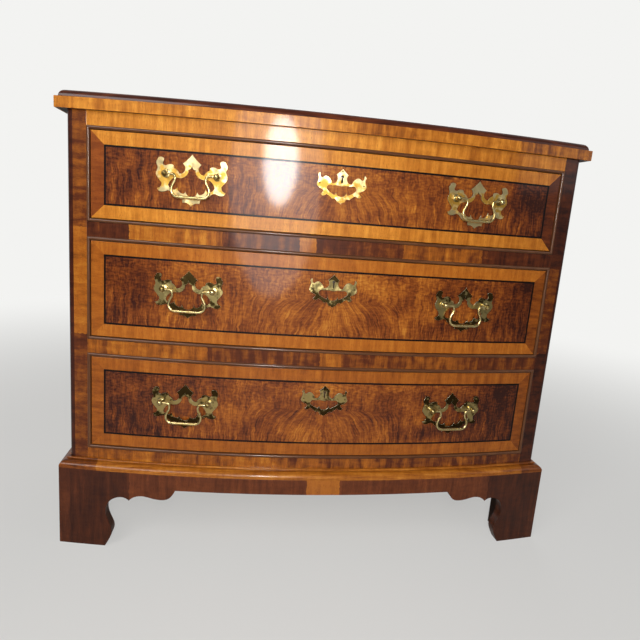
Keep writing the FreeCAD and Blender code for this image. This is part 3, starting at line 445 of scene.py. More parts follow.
def bent_like_a_plume(tree, across, height, tall, seed):
    """The place across, bent; also how far in the middle a point is, from 0 to 1."""
    top = PLUME_TOP * tall
    away = add(tree, MATH, (across,), "ABSOLUTE")
    near = add(tree, MATH, (away, PLUME_HALF), "DIVIDE")
    near = add(tree, MATH, (near, 2.0), "POWER")
    middle = add(tree, MATH, (near, -1.0), "MULTIPLY")
    middle = add(tree, MATH, (middle,), "EXPONENT")
    below = add(tree, MATH, (top, height), "SUBTRACT")
    below = add(tree, MATH, (below, 0.0), "MAXIMUM")
    below = add(tree, MATH, (below, PLUME_CLOSING), "ADD")
    crowding = add(tree, MATH, (top, below), "DIVIDE")
    crowding = add(tree, MATH, (crowding, 1.0), "SUBTRACT")
    bend = add(tree, MATH, (crowding, middle, 1.0), "MULTIPLY_ADD")
    where = add(tree, VECTOR, (add(tree, COMBINE, (across, height)), WAVER_SIZE), "DIVIDE")
    waver = add(tree, NOISE, {"Vector": where, "W": seed, "Scale": 1.0}, noise_dimensions="4D")
    waver = add(tree, MATH, (waver, WAVER, -WAVER / 2), "MULTIPLY_ADD")
    return add(tree, MATH, (across, bend, waver), "MULTIPLY_ADD"), middle


def feathered_walnut(name, number, tones, seed, lift=0.0):
    """The field of one drawer front. lift makes all of it lighter or darker."""
    foot, head = (z / MM for z in FRONTS[number])
    tall = head - foot - 2 * BAND
    material, tree, shader, place = start_material(name)
    parts = add(tree, SEPARATE, (place,)).outputs
    across = parts["X"]
    height = add(tree, MATH, (parts["Z"], foot + BAND), "SUBTRACT")
    share = add(tree, MATH, (height, tall), "DIVIDE")
    drawn, middle = bent_like_a_plume(tree, across, height, tall, seed)
    tone = 0.5 + lift
    layers = []
    for wide, long, detail, at_foot, at_head, shift, plumed in FIGURE:
        where = add(tree, COMBINE, (drawn if plumed else across, height))
        where = add(tree, VECTOR, (where, (wide, long, 1)), "DIVIDE")
        layers.append(add(
            tree, NOISE,
            {"Vector": where, "W": seed + shift, "Scale": 1.0, "Detail": detail,
             "Distortion": 0.4},
            noise_dimensions="4D",
        ))
        weight = add(tree, RANGE, {"Value": share, "To Min": at_foot, "To Max": at_head})
        centred = add(tree, MATH, (layers[-1], 0.5), "SUBTRACT")
        tone = add(tree, MATH, (centred, weight, tone), "MULTIPLY_ADD")
    tone = add(tree, MATH, (middle, MIDDLE_GLOW, tone), "MULTIPLY_ADD")
    away = add(tree, MATH, (across,), "ABSOLUTE")
    ends = add(tree, RANGE, {"Value": away, **ENDS}, interpolation_type="SMOOTHSTEP")
    tone = add(tree, MATH, (tone, ends), "ADD")
    # painted shade towards the right end of the field
    right = add(tree, RANGE, {"Value": across, **RIGHT_END_PAINTED_SHADE})
    tone = add(tree, MATH, (tone, right), "ADD")
    colour = add(tree, RAMP, (tone,), stops=spread(tones))
    where = add(tree, COMBINE, (across, 0.0, height))
    where = add(tree, VECTOR, (where, KNOT_SIZE), "DIVIDE")
    knots = add(
        tree, "ShaderNodeTexVoronoi", {"Vector": where, "W": seed, "Scale": 1.0},
        voronoi_dimensions="4D",
    )
    knot = add(tree, RANGE, {"Value": knots, **KNOT_FADE})
    for mask, other in ((knot, "#260c04"), (skin_front(tree, place), "#9c7443")):
        colour = add(tree, MIX, {0: mask, 6: colour, 7: linear(other)}, data_type="RGBA")
    bump = add(tree, BUMP, {"Height": layers[HAIR], **GRAIN_RELIEF})
    look = {"Base Color": colour, "Normal": bump, "Roughness": 0.42}
    fill(tree, shader, {**SHELLAC, **look})
    return material


FEATHER = ("#2c0e04", "#5a270a", "#7f4011", "#a45e1b", "#c07e2c")
fields = {
    1: feathered_walnut("feathered_walnut_top_drawer", 1, FEATHER, 31.0),
    2: feathered_walnut("feathered_walnut_middle_drawer", 2, FEATHER, 47.0),
    3: feathered_walnut("feathered_walnut_bottom_drawer", 3, FEATHER, 63.0, -0.08),
}
print("fields:", [material.name for material in fields.values()])

# %% [markdown]
# ## Brass and iron
# The handles are cast brass, filed and once lacquered. The flat of a plate mixes pale
# metal with patina by noise, and the filed edges get a brighter metal of their own, partly
# a painted highlight, while the walls of the outline are painted dark, a painted shade. On
# the lower drawers the crown and foot of a plate are painted darker than the middle round
# the bail, a painted reflection of dark surroundings; on the top drawer the middle is
# painted golden, a painted reflection of the wood.
# Lock cases and bolts are filed iron and steel, greyer and duller than brass.

# %% Brass
BLOTCH_SIZE = 9  # mm, like PIT_SIZE
PIT_SIZE = 1.2
PIT_DEPTH = 0.12 * MM
MASK_HALF = 0.1
NOISE_LOW, NOISE_HIGH = 0.28, 0.72  # nearly all of the noise lies between them


def aged_brass(name, bright, dull, patina, roughness, uneven=0.0, swell=16, pitted=0.35, painted_reflection=None):
    """patina is the share that has gone dull, uneven the rise of swells that are swell mm apart.

    The last argument is a painted reflection by height: (height, patina added near it, patina
    added far from it, and the two distances that near and far stand for), with lengths in mm.
    """
    material, tree, shader, place = start_material(name)
    patina_and_reflection = add(tree, NOISE, {"Vector": place, "Scale": 1 / BLOTCH_SIZE, "Detail": 4.0})
    # painted reflection: patina added or taken away by height round the given level
    if painted_reflection:
        height, near, far, start, finish = painted_reflection
        away = add(tree, SEPARATE, (place,)).outputs["Z"]
        away = add(tree, MATH, (away, height), "SUBTRACT")
        away = add(tree, MATH, (away,), "ABSOLUTE")
        change = add(
            tree, RANGE,
            {"Value": away, "From Min": start, "From Max": finish, "To Min": near, "To Max": far},
        )
        patina_and_reflection = add(tree, MATH, (patina_and_reflection, change), "ADD")
    edge = NOISE_HIGH - (NOISE_HIGH - NOISE_LOW) * patina
    mask = add(
        tree, RANGE,
        {"Value": patina_and_reflection, "From Min": edge - MASK_HALF, "From Max": edge + MASK_HALF},
        interpolation_type="SMOOTHSTEP",
    )
    colour = add(tree, MIX, {0: mask, 6: linear(bright), 7: linear(dull)}, data_type="RGBA")
    rough = add(tree, RANGE, {"Value": mask, "To Min": roughness, "To Max": roughness + 0.2})
    pits = add(tree, NOISE, {"Vector": place, "Scale": 1 / PIT_SIZE, "Detail": 3.0})
    bump = add(tree, BUMP, {"Height": pits, "Strength": pitted, "Distance": PIT_DEPTH})
    swells = add(tree, NOISE, {"Vector": place, "Scale": 1 / swell, "Detail": 1.0})
    bump = add(
        tree, BUMP,
        {"Height": swells, "Strength": 1.0, "Distance": uneven * MM, "Normal": bump},
    )
    look = {"Base Color": colour, "Roughness": rough, "Normal": bump, "Metallic": 1.0}
    fill(tree, shader, look)
    return material


print("patina comes in blotches of", BLOTCH_SIZE, "mm, pits are", PIT_SIZE, "mm apart")

# %% Plates, escutcheons, edges and worked pieces
POST_HEIGHT = {number: sum(FRONTS[number]) / 2 + 10 * MM for number in DRAWERS}
BAIL_LEVEL = {number: POST_HEIGHT[number] / MM - 6 for number in DRAWERS}
LOBES = {number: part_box("drawer_%d_escutcheon" % number)[1].z / MM - 21 for number in DRAWERS}
CAST = {
    1: ("cast_brass_pale_painted_warm_reflection", "#f8dfa0", "#c99c44", 0.4, 0.3, 1.2),
    2: ("cast_brass_dulled_painted_dark_reflection", "#c9b476", "#41341b", 0.44, 0.28, 1.8),
    3: ("cast_brass_browned_painted_dark_reflection", "#c0aa6e", "#392c16", 0.46, 0.28, 1.8),
}
# painted reflection: on drawers 2 and 3 the crown and foot are painted darker, on drawer 1 the
# middle round the posts golden
BRASS = {
    1: aged_brass(*CAST[1], painted_reflection=(BAIL_LEVEL[1], 0.13, -0.1, 9, 22)),
    2: aged_brass(*CAST[2], painted_reflection=(BAIL_LEVEL[2], -0.1, 0.2, 9, 22)),
    3: aged_brass(*CAST[3], painted_reflection=(BAIL_LEVEL[3], -0.1, 0.2, 9, 22)),
}
# painted reflection: escutcheons on drawers 2 and 3 are painted darker away from their lobes
KEYHOLE_BRASS = {
    1: BRASS[1],
    2: aged_brass("escutcheon_brass_dulled_painted_dark_reflection", *CAST[2][1:], painted_reflection=(LOBES[2], -0.06, 0.2, 6, 13)),
    3: aged_brass("escutcheon_brass_browned_painted_dark_reflection", *CAST[3][1:], painted_reflection=(LOBES[3], -0.06, 0.2, 6, 13)),
}
# brighter filed metal and a painted highlight: near white brass on every plate's rim
BRIGHT_EDGE = aged_brass(
    "filed_brass_edge_painted_highlight", "#fff4d2", "#c9ad68", 0.25, 0.42, uneven=0.5, swell=5, pitted=0.1
)
# painted shade: dark brown brass on the walls round a plate's outline, drawn as the shade at its
# edge
DARK_WALL = aged_brass("brass_wall_painted_shade", "#6b5526", "#2e2410", 0.6, 0.5)
BAIL_BRASS = aged_brass("handled_brass", "#e2cd90", "#bba263", 0.3, 0.24, pitted=0.0)
POST_BRASS = aged_brass("turned_brass", "#d8c488", "#7b6736", 0.4, 0.22, pitted=0.1)
LOCK_IRON = aged_brass("filed_lock_steel", "#a3a09a", "#6a6661", 0.4, 0.4)
print("metals:", BAIL_BRASS.name, POST_BRASS.name, LOCK_IRON.name)

# %% [markdown]
# ## Putting pieces on their bodies
# Each finished piece must ride on one body of the chest, and the solids that it stands
# for are hidden. Doing that in one place keeps every piece honest. Edges that turn by more
# than a set angle are marked sharp. On flat work a large face outweighs the small ones
# beside it, so the wood doesn't shade as if it were dished; rods and turned posts stay
# evenly round.


def put(name, data):
    """A new object in the scene."""
    thing = bpy.data.objects.new(name, data)
    bpy.context.scene.collection.objects.link(thing)
    return thing


def evaluated(thing):
    """The mesh that an object's modifiers make of it."""
    depsgraph = bpy.context.evaluated_depsgraph_get()
    return bpy.data.meshes.new_from_object(thing.evaluated_get(depsgraph))


def settle(name, mesh, body, nodes, sharp=20, flat=True):
    """Makes a mesh a piece that rides on a body and stands for the given solids."""
    piece = put(name, mesh)
    mesh.shade_smooth()
    mesh.set_sharp_from_angle(angle=math.radians(sharp))
    if flat:
        even = piece.modifiers.new("even_faces", "WEIGHTED_NORMAL")
        even.weight = 100
        even.keep_sharp = True
        piece.data = evaluated(piece)
        piece.modifiers.remove(even)
    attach(piece, body)
    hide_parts(*nodes)
    print("%s: %d faces on %s" % (name, len(mesh.polygons), body))
    return piece


# %% [markdown]
# ## Dressing a solid
# A solid from the workshop has knife edges, and real edges never do: they catch a thin
# line of light. A copy is welded, its flat faces are joined up again, and the edges
# that a rule picks are bevelled. The bevel can carry a material of its own.

# %% Bevelled copies
WELD = 0.004 * MM
FLAT_WITHIN = math.radians(0.4)
ARRIS_TURN = math.radians(50)


def arris(edge):
    """The outward corner of a board."""
    return edge.is_manifold and edge.is_convex and edge.calc_face_angle() > ARRIS_TURN


def dressed(node, materials, bevel, picks=arris, choose=None, segments=2, edge_material=-1):
    bm = bmesh.new()
    bm.from_mesh(frame["nodes"][node].data)
    bmesh.ops.remove_doubles(bm, verts=bm.verts, dist=WELD)
    bmesh.ops.dissolve_limit(
        bm, angle_limit=FLAT_WITHIN, verts=bm.verts, edges=bm.edges, delimit={"NORMAL"}
    )
    for face in bm.faces:
        face.material_index = choose(face) if choose else 0
    edges = [edge for edge in bm.edges if picks(edge)]
    bmesh.ops.bevel(
        bm, geom=edges, offset=bevel, offset_type="OFFSET", segments=segments, profile=0.5,
        affect="EDGES", clamp_overlap=True, material=edge_material,
    )
    mesh = bpy.data.meshes.new(node + "_dressed")
    bm.to_mesh(mesh)
    bm.free()
    for material in materials:
        mesh.materials.append(material)
    body = frame["nodes"][node]["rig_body"]
    return settle(node + "_dressed", mesh, body, [node])


print("bevels go on edges that turn by more than", round(math.degrees(ARRIS_TURN)), "degrees")

# %% [markdown]
# ## Mouldings that follow a rule
# A moulding is one outline drawn along a path, and this chest's paths are the bow and
# the straight returns at its ends. Geometry Nodes draw the outline along a plain
# straight line first; then one rule moves every point on to the bow and slants the two
# ends to a mitre. The rule for the depth of the bow is a small group of its own, which
# the other trees use as well.

# %% The bow as a node group
NUMBER, SHAPE = "NodeSocketFloat", "NodeSocketGeometry"
MATERIAL, OBJECT = "NodeSocketMaterial", "NodeSocketObject"


def start_tree(name, sizes, shape=(("Geometry", SHAPE),), others=(("Material", MATERIAL),)):
    """A tree that makes a shape, or a number where it takes none, and what it is given."""
    tree = bpy.data.node_groups.new(name, "GeometryNodeTree")
    tree.is_modifier = bool(shape)
    for label, kind in (*shape, *((size, NUMBER) for size in sizes), *others):
        tree.interface.new_socket(label, in_out="INPUT", socket_type=kind)
    kind = SHAPE if shape else NUMBER
    tree.interface.new_socket("Result", in_out="OUTPUT", socket_type=kind)
    return tree, tree.nodes.new("NodeGroupInput").outputs


def end_tree(tree, given, geometry):
    real = add(tree, "GeometryNodeRealizeInstances", (geometry,))
    clothed = add(
        tree, "GeometryNodeSetMaterial", {"Geometry": real, "Material": given["Material"]}
    )
    add(tree, "NodeGroupOutput", (clothed,))


tree, given = start_tree("depth_of_bow", ("Across", "Out"), shape=(), others=())
radius = add(tree, MATH, (given["Out"], BOW_RADIUS), "ADD")
square = add(tree, MATH, (radius, 2.0), "POWER")
width = add(tree, MATH, (given["Across"], given["Across"]), "MULTIPLY")
rest = add(tree, MATH, (square, width), "SUBTRACT")
chord = add(tree, MATH, (rest,), "SQRT")
depth = add(tree, MATH, (BOW_CENTRE, chord), "SUBTRACT")
add(tree, "NodeGroupOutput", (depth,))
bow_rule = tree
print("depth_of_bow has", len(tree.nodes), "nodes")

# %% Outline drawn along a line, then moved by a rule
def drawn_strip(tree, outline, start, end, steps):
    """A strip from start to end: s runs along X, out towards -Y and up along Z."""
    line = add(tree, "GeometryNodeCurvePrimitiveLine", {"Start": (start, 0, 0), "End": (end, 0, 0)})
    fine = add(tree, "GeometryNodeResampleCurve", {"Curve": line, "Count": steps})
    strip = add(
        tree, "GeometryNodeCurveToMesh",
        {"Curve": fine, "Profile Curve": outline, "Fill Caps": True},
    )
    parts = add(tree, SEPARATE, (add(tree, "GeometryNodeInputPosition"),)).outputs
    out = add(tree, MATH, (parts["Y"], -1.0), "MULTIPLY")
    return strip, parts["X"], out, parts["Z"]


def moved(tree, strip, x, y, z):
    place = add(tree, COMBINE, (x, y, z))
    return add(tree, "GeometryNodeSetPosition", {"Geometry": strip, "Position": place})


BOW_STEPS, STRAIGHT_STEPS = 97, 5
round_tree, given = start_tree("moulding_round_the_chest", ("Half width", "Level", "Back"))
outline = add(round_tree, "GeometryNodeMeshToCurve", (given["Geometry"],))
joined = add(round_tree, "GeometryNodeJoinGeometry")
for side, steps in ((0, BOW_STEPS), (1, STRAIGHT_STEPS), (-1, STRAIGHT_STEPS)):
    strip, along, out, up = drawn_strip(round_tree, outline, 0.0 if side else -1.0, 1.0, steps)
    reach = add(round_tree, MATH, (given["Half width"], out), "ADD")
    x = add(round_tree, MATH, (reach, float(side) if side else along), "MULTIPLY")
    y = add(round_tree, "GeometryNodeGroup", {"Across": x, "Out": out}, node_tree=bow_rule)
    if side:
        y = add(round_tree, MIX, {0: along, 2: y, 3: given["Back"]}, data_type="FLOAT")
    z = add(round_tree, MATH, (given["Level"], up), "ADD")
    fill(round_tree, joined, {0: moved(round_tree, strip, x, y, z)})
end_tree(round_tree, given, joined)
print("moulding_round_the_chest has", len(round_tree.nodes), "nodes")

# %% [markdown]
# A tree only describes a shape. To make a piece of it, the shape that it grows is read
# back as a plain mesh and its faces are turned outward.

# %% Growing a plain mesh from a tree
def grown(tree, source, values):
    """The mesh that a tree makes from a source mesh with the given named inputs."""
    seed = put("seed", source)
    modifier = seed.modifiers.new("grow", "NODES")
    modifier.node_group = tree
    for socket in tree.interface.items_tree:
        if socket.in_out == "INPUT" and socket.name in values:
            modifier[socket.identifier] = values[socket.name]
    mesh = evaluated(seed)
    seed.modifiers.remove(modifier)
    bpy.data.objects.remove(seed)
    bm = bmesh.new()
    bm.from_mesh(mesh)
    bmesh.ops.recalc_face_normals(bm, faces=bm.faces)
    bm.to_mesh(mesh)
    bm.free()
    return mesh


def outline_mesh(name, points):
    """A closed outline from (out, up) in mm."""
    mesh = bpy.data.meshes.new(name)
    places = [(out * MM, -up * MM, 0) for out, up in points]
    mesh.from_pydata(places, [(i, (i + 1) % len(points)) for i in range(len(points))], [])
    return mesh


def arc(out, up, wide, tall, start, finish, steps):
    """Points of a round, its centre at (out, up), between two angles in degrees."""
    turns = [math.radians(start + (finish - start) * step / steps) for step in range(steps + 1)]
    return [(out + wide * math.cos(turn), up + tall * math.sin(turn)) for turn in turns]


print("a quarter round of 10 steps has", len(arc(0, 0, 1, 1, 0, 90, 10)), "points")

# %% Base moulding and banded edge of the top
MOULD_SIZE = 15.5
swell = arc(4, 2.5, 11.5, 9, 0, 90, 10)
quirk = [(2.4, 11.6), (2.2, 12.2), (2.4, 12.9), (4.1, 13.1)]
lip = arc(2.9, 14.2, 1.3, 1.3, 0, 90, 10)
base_points = [(0, 0), (MOULD_SIZE, 0)] + swell + quirk + lip + [(0, MOULD_SIZE)]
mesh = grown(
    round_tree, outline_mesh("base_outline", base_points),
    {"Half width": HALF, "Level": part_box("base_moulding")[0].z, "Back": BACK,
     "Material": wood["base_mould"]},
)
settle("base_moulding_strips", mesh, "carcase", ["base_moulding"])

edge_points = [(4, 0), (6.6, 0), (7, 0.4), (7, 16.6), (6.6, 17), (4, 17)]
mesh = grown(
    round_tree, outline_mesh("edge_outline", edge_points),
    {"Half width": HALF + END_OVERHANG - FRONT_OVERHANG, "Level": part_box("top_edge_band")[0].z,
     "Back": BACK + BACK_OVERHANG, "Material": wood["top_edge"]},
)
settle("top_edge_banding", mesh, "carcase", ["top_edge_band"])

# %% [markdown]
# ## Cock beads and crossbanding
# A small round-nosed bead is let in round every drawer opening, to protect the edge of
# the veneer and to draw a line of light round the drawer. The drawer front itself has a
# border of crossbanding. Both are four strips mitred at the corners, so one tree makes
# them: each point knows how far it lies in from the outer edge, and the ends of a strip
# draw in by as much, which is what a mitre is.

# %% Strips round an opening
tree, given = start_tree(
    "strips_round_an_opening", ("Half width", "Bottom", "Top", "Width", "Follow the bow"),
    others=(("Material", MATERIAL), ("Upright material", MATERIAL)),
)
outline = add(tree, "GeometryNodeMeshToCurve", (given["Geometry"],))
level_strips = add(tree, "GeometryNodeJoinGeometry")
for edge, inwards in ((given["Top"], -1.0), (given["Bottom"], 1.0)):
    strip, along, out, inset = drawn_strip(tree, outline, -1.0, 1.0, BOW_STEPS)
    reach = add(tree, MATH, (given["Half width"], inset), "SUBTRACT")
    x = add(tree, MATH, (reach, along), "MULTIPLY")
    y = add(tree, "GeometryNodeGroup", {"Across": x, "Out": out}, node_tree=bow_rule)
    z = add(tree, MATH, (inset, inwards, edge), "MULTIPLY_ADD")
    fill(tree, level_strips, {0: moved(tree, strip, x, y, z)})
upright_strips = add(tree, "GeometryNodeJoinGeometry")
centre = add(tree, MATH, (given["Width"], -0.5, given["Half width"]), "MULTIPLY_ADD")
for side in (1.0, -1.0):
    strip, along, out, inset = drawn_strip(tree, outline, 0.0, 1.0, STRAIGHT_STEPS)
    reach = add(tree, MATH, (given["Half width"], inset), "SUBTRACT")
    x = add(tree, MATH, (reach, side), "MULTIPLY")
    across = add(tree, MIX, {0: given["Follow the bow"], 2: centre, 3: reach}, data_type="FLOAT")
    depth = add(tree, "GeometryNodeGroup", {"Across": across}, node_tree=bow_rule)
    y = add(tree, MATH, (depth, out), "SUBTRACT")
    low = add(tree, MATH, (given["Bottom"], inset), "ADD")
    high = add(tree, MATH, (given["Top"], inset), "SUBTRACT")
    z = add(tree, MIX, {0: along, 2: low, 3: high}, data_type="FLOAT")
    fill(tree, upright_strips, {0: moved(tree, strip, x, y, z)})
whole = add(tree, "GeometryNodeJoinGeometry")
for strips, label in ((level_strips, "Material"), (upright_strips, "Upright material")):
    clothed = add(tree, "GeometryNodeSetMaterial", {"Geometry": strips, "Material": given[label]})
    fill(tree, whole, {0: clothed})
add(tree, "NodeGroupOutput", (add(tree, "GeometryNodeRealizeInstances", (whole,)),))
strip_tree = tree
print("strips_round_an_opening has", len(tree.nodes), "nodes")

# %% Beads and bands of the three drawers
BAND_WIDTH = 21
LINE_WIDTH = 3.1
LINE_LAP = 0.2
BACK_OF_STRIP = -1.5
BACK_OF_BEAD = -9
BEAD_NOSE = arc(0.25, 2.75, 2.75, 2.75, -90, 90, 12)
BEAD_OUTLINE = [(BACK_OF_BEAD, 0)] + BEAD_NOSE + [(BACK_OF_BEAD, 5.5)]
BAND_OUTLINE = [(BACK_OF_STRIP, 0), (-0.4, 0), (-0.12, 0.12), (0, 0.4), (0, BAND_WIDTH),
                (BACK_OF_STRIP, BAND_WIDTH)]
LINE_OUTLINE = [(BACK_OF_STRIP, 0), (0.03, 0), (0.03, LINE_WIDTH), (BACK_OF_STRIP, LINE_WIDTH)]
BAND_KINDS = {
    1: ("golden_upright", "russet_level"),
    2: ("amber_upright", "amber_level"),
    3: ("brown_upright", "brown_level"),
}
for number in DRAWERS:
    bottom, top = OPENINGS[number]
    foot, head = FRONTS[number]
    rim = (BAND_WIDTH - LINE_LAP) * MM
    drawer = "drawer_%d" % number
    for name, body, node, points, half, low, high, width, follow, kinds in (
        ("cock_beads_opening_%d" % number, "carcase", "cock_beads", BEAD_OUTLINE,
         OPENING_HALF, bottom, top, BEAD_WIDTH, 0.0, ("bead", "bead_upright")),
        (drawer + "_banding", drawer, drawer + "_crossbanding", BAND_OUTLINE,
         DRAWER_HALF, foot, head, BAND_WIDTH * MM, 1.0, BAND_KINDS[number]),
        (drawer + "_line", drawer, drawer + "_stringing", LINE_OUTLINE,
         DRAWER_HALF - rim, foot + rim, head - rim, LINE_WIDTH * MM, 1.0,
         ("ebonised", "ebonised")),
    ):
        mesh = grown(
            strip_tree, outline_mesh(name + "_outline", points),
            {"Half width": half, "Bottom": low, "Top": high, "Width": width,
             "Follow the bow": follow, "Material": wood[kinds[0]],
             "Upright material": wood[kinds[1]]},
        )
        settle(name, mesh, body, [node])

# %% [markdown]
# ## The moulded top
# The top is one board whose edge was run to a thumbnail: a small step, then a quarter
# round. Its plan is the front's curve with square ends, so each level of the moulding
# is the same plan drawn in a little further. Stacking those outlines and joining
# neighbours gives a closed board, with the round as fine as it needs to be.

# %% Top surface: banded, lined and quartered
BORDER_BAND, BORDER_LINE, BORDER_FIELD = 17.0, 49.0, 51.0
CROWN_WEIGHT, FIELD_TONE = 1.5, 0.46
TOP_FIGURE = (
    # stretch in mm, detail, seed: crown, streaks, hair, then the bands' lengthwise and depthwise
    ((60, 420, 60), 3.0, 70), ((9, 260, 9), 2.0, 71), ((1.2, 40, 1.2), 2.0, 72),
    ((70, 7, 7), 3.0, 73), ((7, 70, 7), 3.0, 74),
)


def banded_top(name, tones, band_tones, edge_tones):
    """Border of crossbanding, a dark line, and a field opened like a book about x = 0."""
    material, tree, shader, place = start_material(name)
    parts = add(tree, SEPARATE, (place,)).outputs
    away = add(tree, MATH, (parts["X"],), "ABSOLUTE")
    borders = []
    for edge, reach in (
        (BOW_RADIUS + FRONT_OVERHANG, reach_from_axis(tree, place)),
        (BACK + BACK_OVERHANG, parts["Y"]),
        (HALF + END_OVERHANG, away),
    ):
        borders.append(add(tree, MATH, (edge / MM, reach), "SUBTRACT"))
    front, rear, end = borders
    nearer = add(tree, MATH, (front, rear), "MINIMUM")
    border = add(tree, MATH, (nearer, end), "MINIMUM")
    at_end = add(tree, MATH, (end, nearer), "LESS_THAN")
    book = add(tree, COMBINE, (away, parts["Y"], parts["Z"]))
    layers = []
    for stretch, detail, seed in TOP_FIGURE:
        drawn = add(tree, VECTOR, (book, [1 / length for length in stretch]), "MULTIPLY")
        layers.append(add(
            tree, NOISE,
            {"Vector": drawn, "W": seed, "Scale": 1.0, "Detail": detail, "Distortion": 0.9},
            noise_dimensions="4D",
        ))
    crown, streaks, hair, lengthwise, depthwise = layers
    tone = add(
        tree, MATH, (crown, CROWN_WEIGHT, FIELD_TONE - CROWN_WEIGHT / 2), "MULTIPLY_ADD"
    )
    for layer, weight in ((streaks, 0.8), (hair, 0.35)):
        centred = add(tree, MATH, (layer, 0.5), "SUBTRACT")
        tone = add(tree, MATH, (centred, weight, tone), "MULTIPLY_ADD")
    field = add(tree, RAMP, (tone,), stops=spread(tones))
    across = add(tree, MIX, {0: at_end, 2: depthwise, 3: lengthwise}, data_type="FLOAT")
    stops = [(0.2 + 0.2 * count, tone) for count, tone in enumerate(band_tones)]
    band = add(tree, RAMP, (across,), stops=stops)
    stops = [(0.25 + 0.25 * count, tone) for count, tone in enumerate(edge_tones)]
    colour = add(tree, RAMP, (lengthwise,), stops=stops)
    for start, inside in (
        (BORDER_BAND, band), (BORDER_LINE, linear("#0c0705")), (BORDER_FIELD, field)
    ):
        passed = add(tree, MATH, (border, start), "GREATER_THAN")
        colour = add(tree, MIX, {0: passed, 6: colour, 7: inside}, data_type="RGBA")
    fill(tree, shader, {**SHELLAC, "Base Color": colour, "Roughness": 0.4})
    return material


wood["top"] = banded_top("banded_walnut_top", FEATHER, GOLDEN, ("#2a0f07", "#4a1f0e", "#6b3317"))
print("border of the top", BORDER_LINE - BORDER_BAND, "mm, line", BORDER_FIELD - BORDER_LINE, "mm")

# %% Stacked outlines
def meshed(bm, name):
    """The mesh of a bmesh, its faces turned outward."""
    bmesh.ops.recalc_face_normals(bm, faces=bm.faces)
    mesh = bpy.data.meshes.new(name)
    bm.to_mesh(mesh)
    bm.free()
    return mesh


def join_rings(bm, rings):
    """Closes the wall between neighbouring rings that have as many points."""
    for below, above in zip(rings, rings[1:]):
        for here in range(len(below)):
            after = (here + 1) % len(below)
            bm.faces.new((below[here], below[after], above[after], above[here]))


def plan(inset, steps=96):
    """The plan of the top, drawn in by inset at its front and ends, counter-clockwise."""
    half = HALF + END_OVERHANG - inset
    xs = [half * (2 * step / steps - 1) for step in range(steps + 1)]
    front = [(x, bow_depth(x, FRONT_OVERHANG - inset)) for x in xs]
    return front + [(half, BACK + BACK_OVERHANG), (-half, BACK + BACK_OVERHANG)]


def stacked_board(name, levels):
    """A closed board from (inset, height) pairs, lowest first."""
    bm = bmesh.new()
    rings = [[bm.verts.new((x, y, height)) for x, y in plan(inset)] for inset, height in levels]
    join_rings(bm, rings)
    bm.faces.new(list(reversed(rings[0])))
    bm.faces.new(rings[-1])
    return meshed(bm, name)


EDGE_INSET, STEP_INSET, THUMB = 3 * MM, 5 * MM, 11 * MM
low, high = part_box("top_board")
step_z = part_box("top_edge_band")[1].z
levels = [(EDGE_INSET, low.z), (EDGE_INSET, step_z), (STEP_INSET, step_z)]
levels += arc(STEP_INSET + THUMB, high.z - THUMB, -THUMB, THUMB, 0, 90, 12)
mesh = stacked_board("moulded_top", levels)
mesh.materials.append(wood["top"])
mesh.materials.append(wood["top_underside"])
# faces that look down take the underside's near black tones, a painted shade under the overhang
for face in mesh.polygons:
    face.material_index = int(face.normal.z < -0.5)
settle("moulded_top", mesh, "carcase", ["top_board"], sharp=25)

# %% [markdown]
# ## Boards, rails and brackets
# Flat boards keep their solids and only get their wood. The brackets are sawn to a
# curve and handled at every cleaning, so they get a dressed copy with soft edges.

# %% Woods on the case and the drawers
CRISP_EDGE = 0.3 * MM
SOFT_EDGE = 0.7 * MM


def clothe(material, *nodes):
    for node in nodes:
        mesh = frame["nodes"][node].data
        mesh.materials.clear()
        mesh.materials.append(material)


for rail in ("top_rail", "upper_rail", "lower_rail", "bottom_rail"):
    clothe(wood[rail], rail)
clothe(wood["side"], "side_left", "side_right")
clothe(wood["pine"], "back_panel", "bottom_board", "rear_brackets", "dustboards")
clothe(wood["pine_deep"], "drawer_runners", "drawer_guides", "drawer_stops")
# the foot blocks under the case get the same painted shade
clothe(wood["top_underside"], "foot_blocks")
for number in DRAWERS:
    part = "drawer_%d_" % number
    clothe(fields[number], part + "front")
    clothe(wood["oak"], part + "sides", part + "bottom")
    clothe(wood["oak_across"], part + "back")
    clothe(LOCK_IRON, part + "bolt")
dressed(
    "front_stiles", [wood["left_stile"], wood["right_stile"]], CRISP_EDGE,
    choose=lambda face: int(face.calc_center_median().x > 0),
)
dressed("front_apron", [wood["bracket"]], SOFT_EDGE)
dressed("side_brackets", [wood["side_bracket"]], SOFT_EDGE)

# %% [markdown]
# ## Handles
# A plate is cast flat, pierced and filed. Its rim catches more light than its face, so
# the bevel there is one clean facet of bright metal, partly a painted highlight, and the
# wall of its outline is painted dark, a painted shade. Posts and bails are worked pieces:
# posts are turned on a lathe and drilled for the bail, so a profile is spun and a hole
# is cut; a bail is a rod drawn thicker where the hand holds it.

# %% Plates, escutcheons and locks
RIM_FACET = 1.1 * MM
FACES_OUT, LOOKS_FLAT = -0.9, -0.97  # y of a normal that looks out of the drawer


def face_or_wall(face):
    """Material 0 on the face of a plate, 2 on its wall and back."""
    return 0 if face.normal.y < FACES_OUT else 2


def filed_rim(edge):
    """Where the face of a plate meets the wall of its outline."""
    return arris(edge) and min(face.normal.y for face in edge.link_faces) < LOOKS_FLAT


for number in DRAWERS:
    part = "drawer_%d_" % number
    for piece, brass in (("handle_plates", BRASS), ("escutcheon", KEYHOLE_BRASS)):
        dressed(
            part + piece, [brass[number], BRIGHT_EDGE, DARK_WALL], RIM_FACET, picks=filed_rim,
            choose=face_or_wall, segments=1, edge_material=1,
        )
    dressed(part + "lock", [LOCK_IRON], CRISP_EDGE, segments=1)

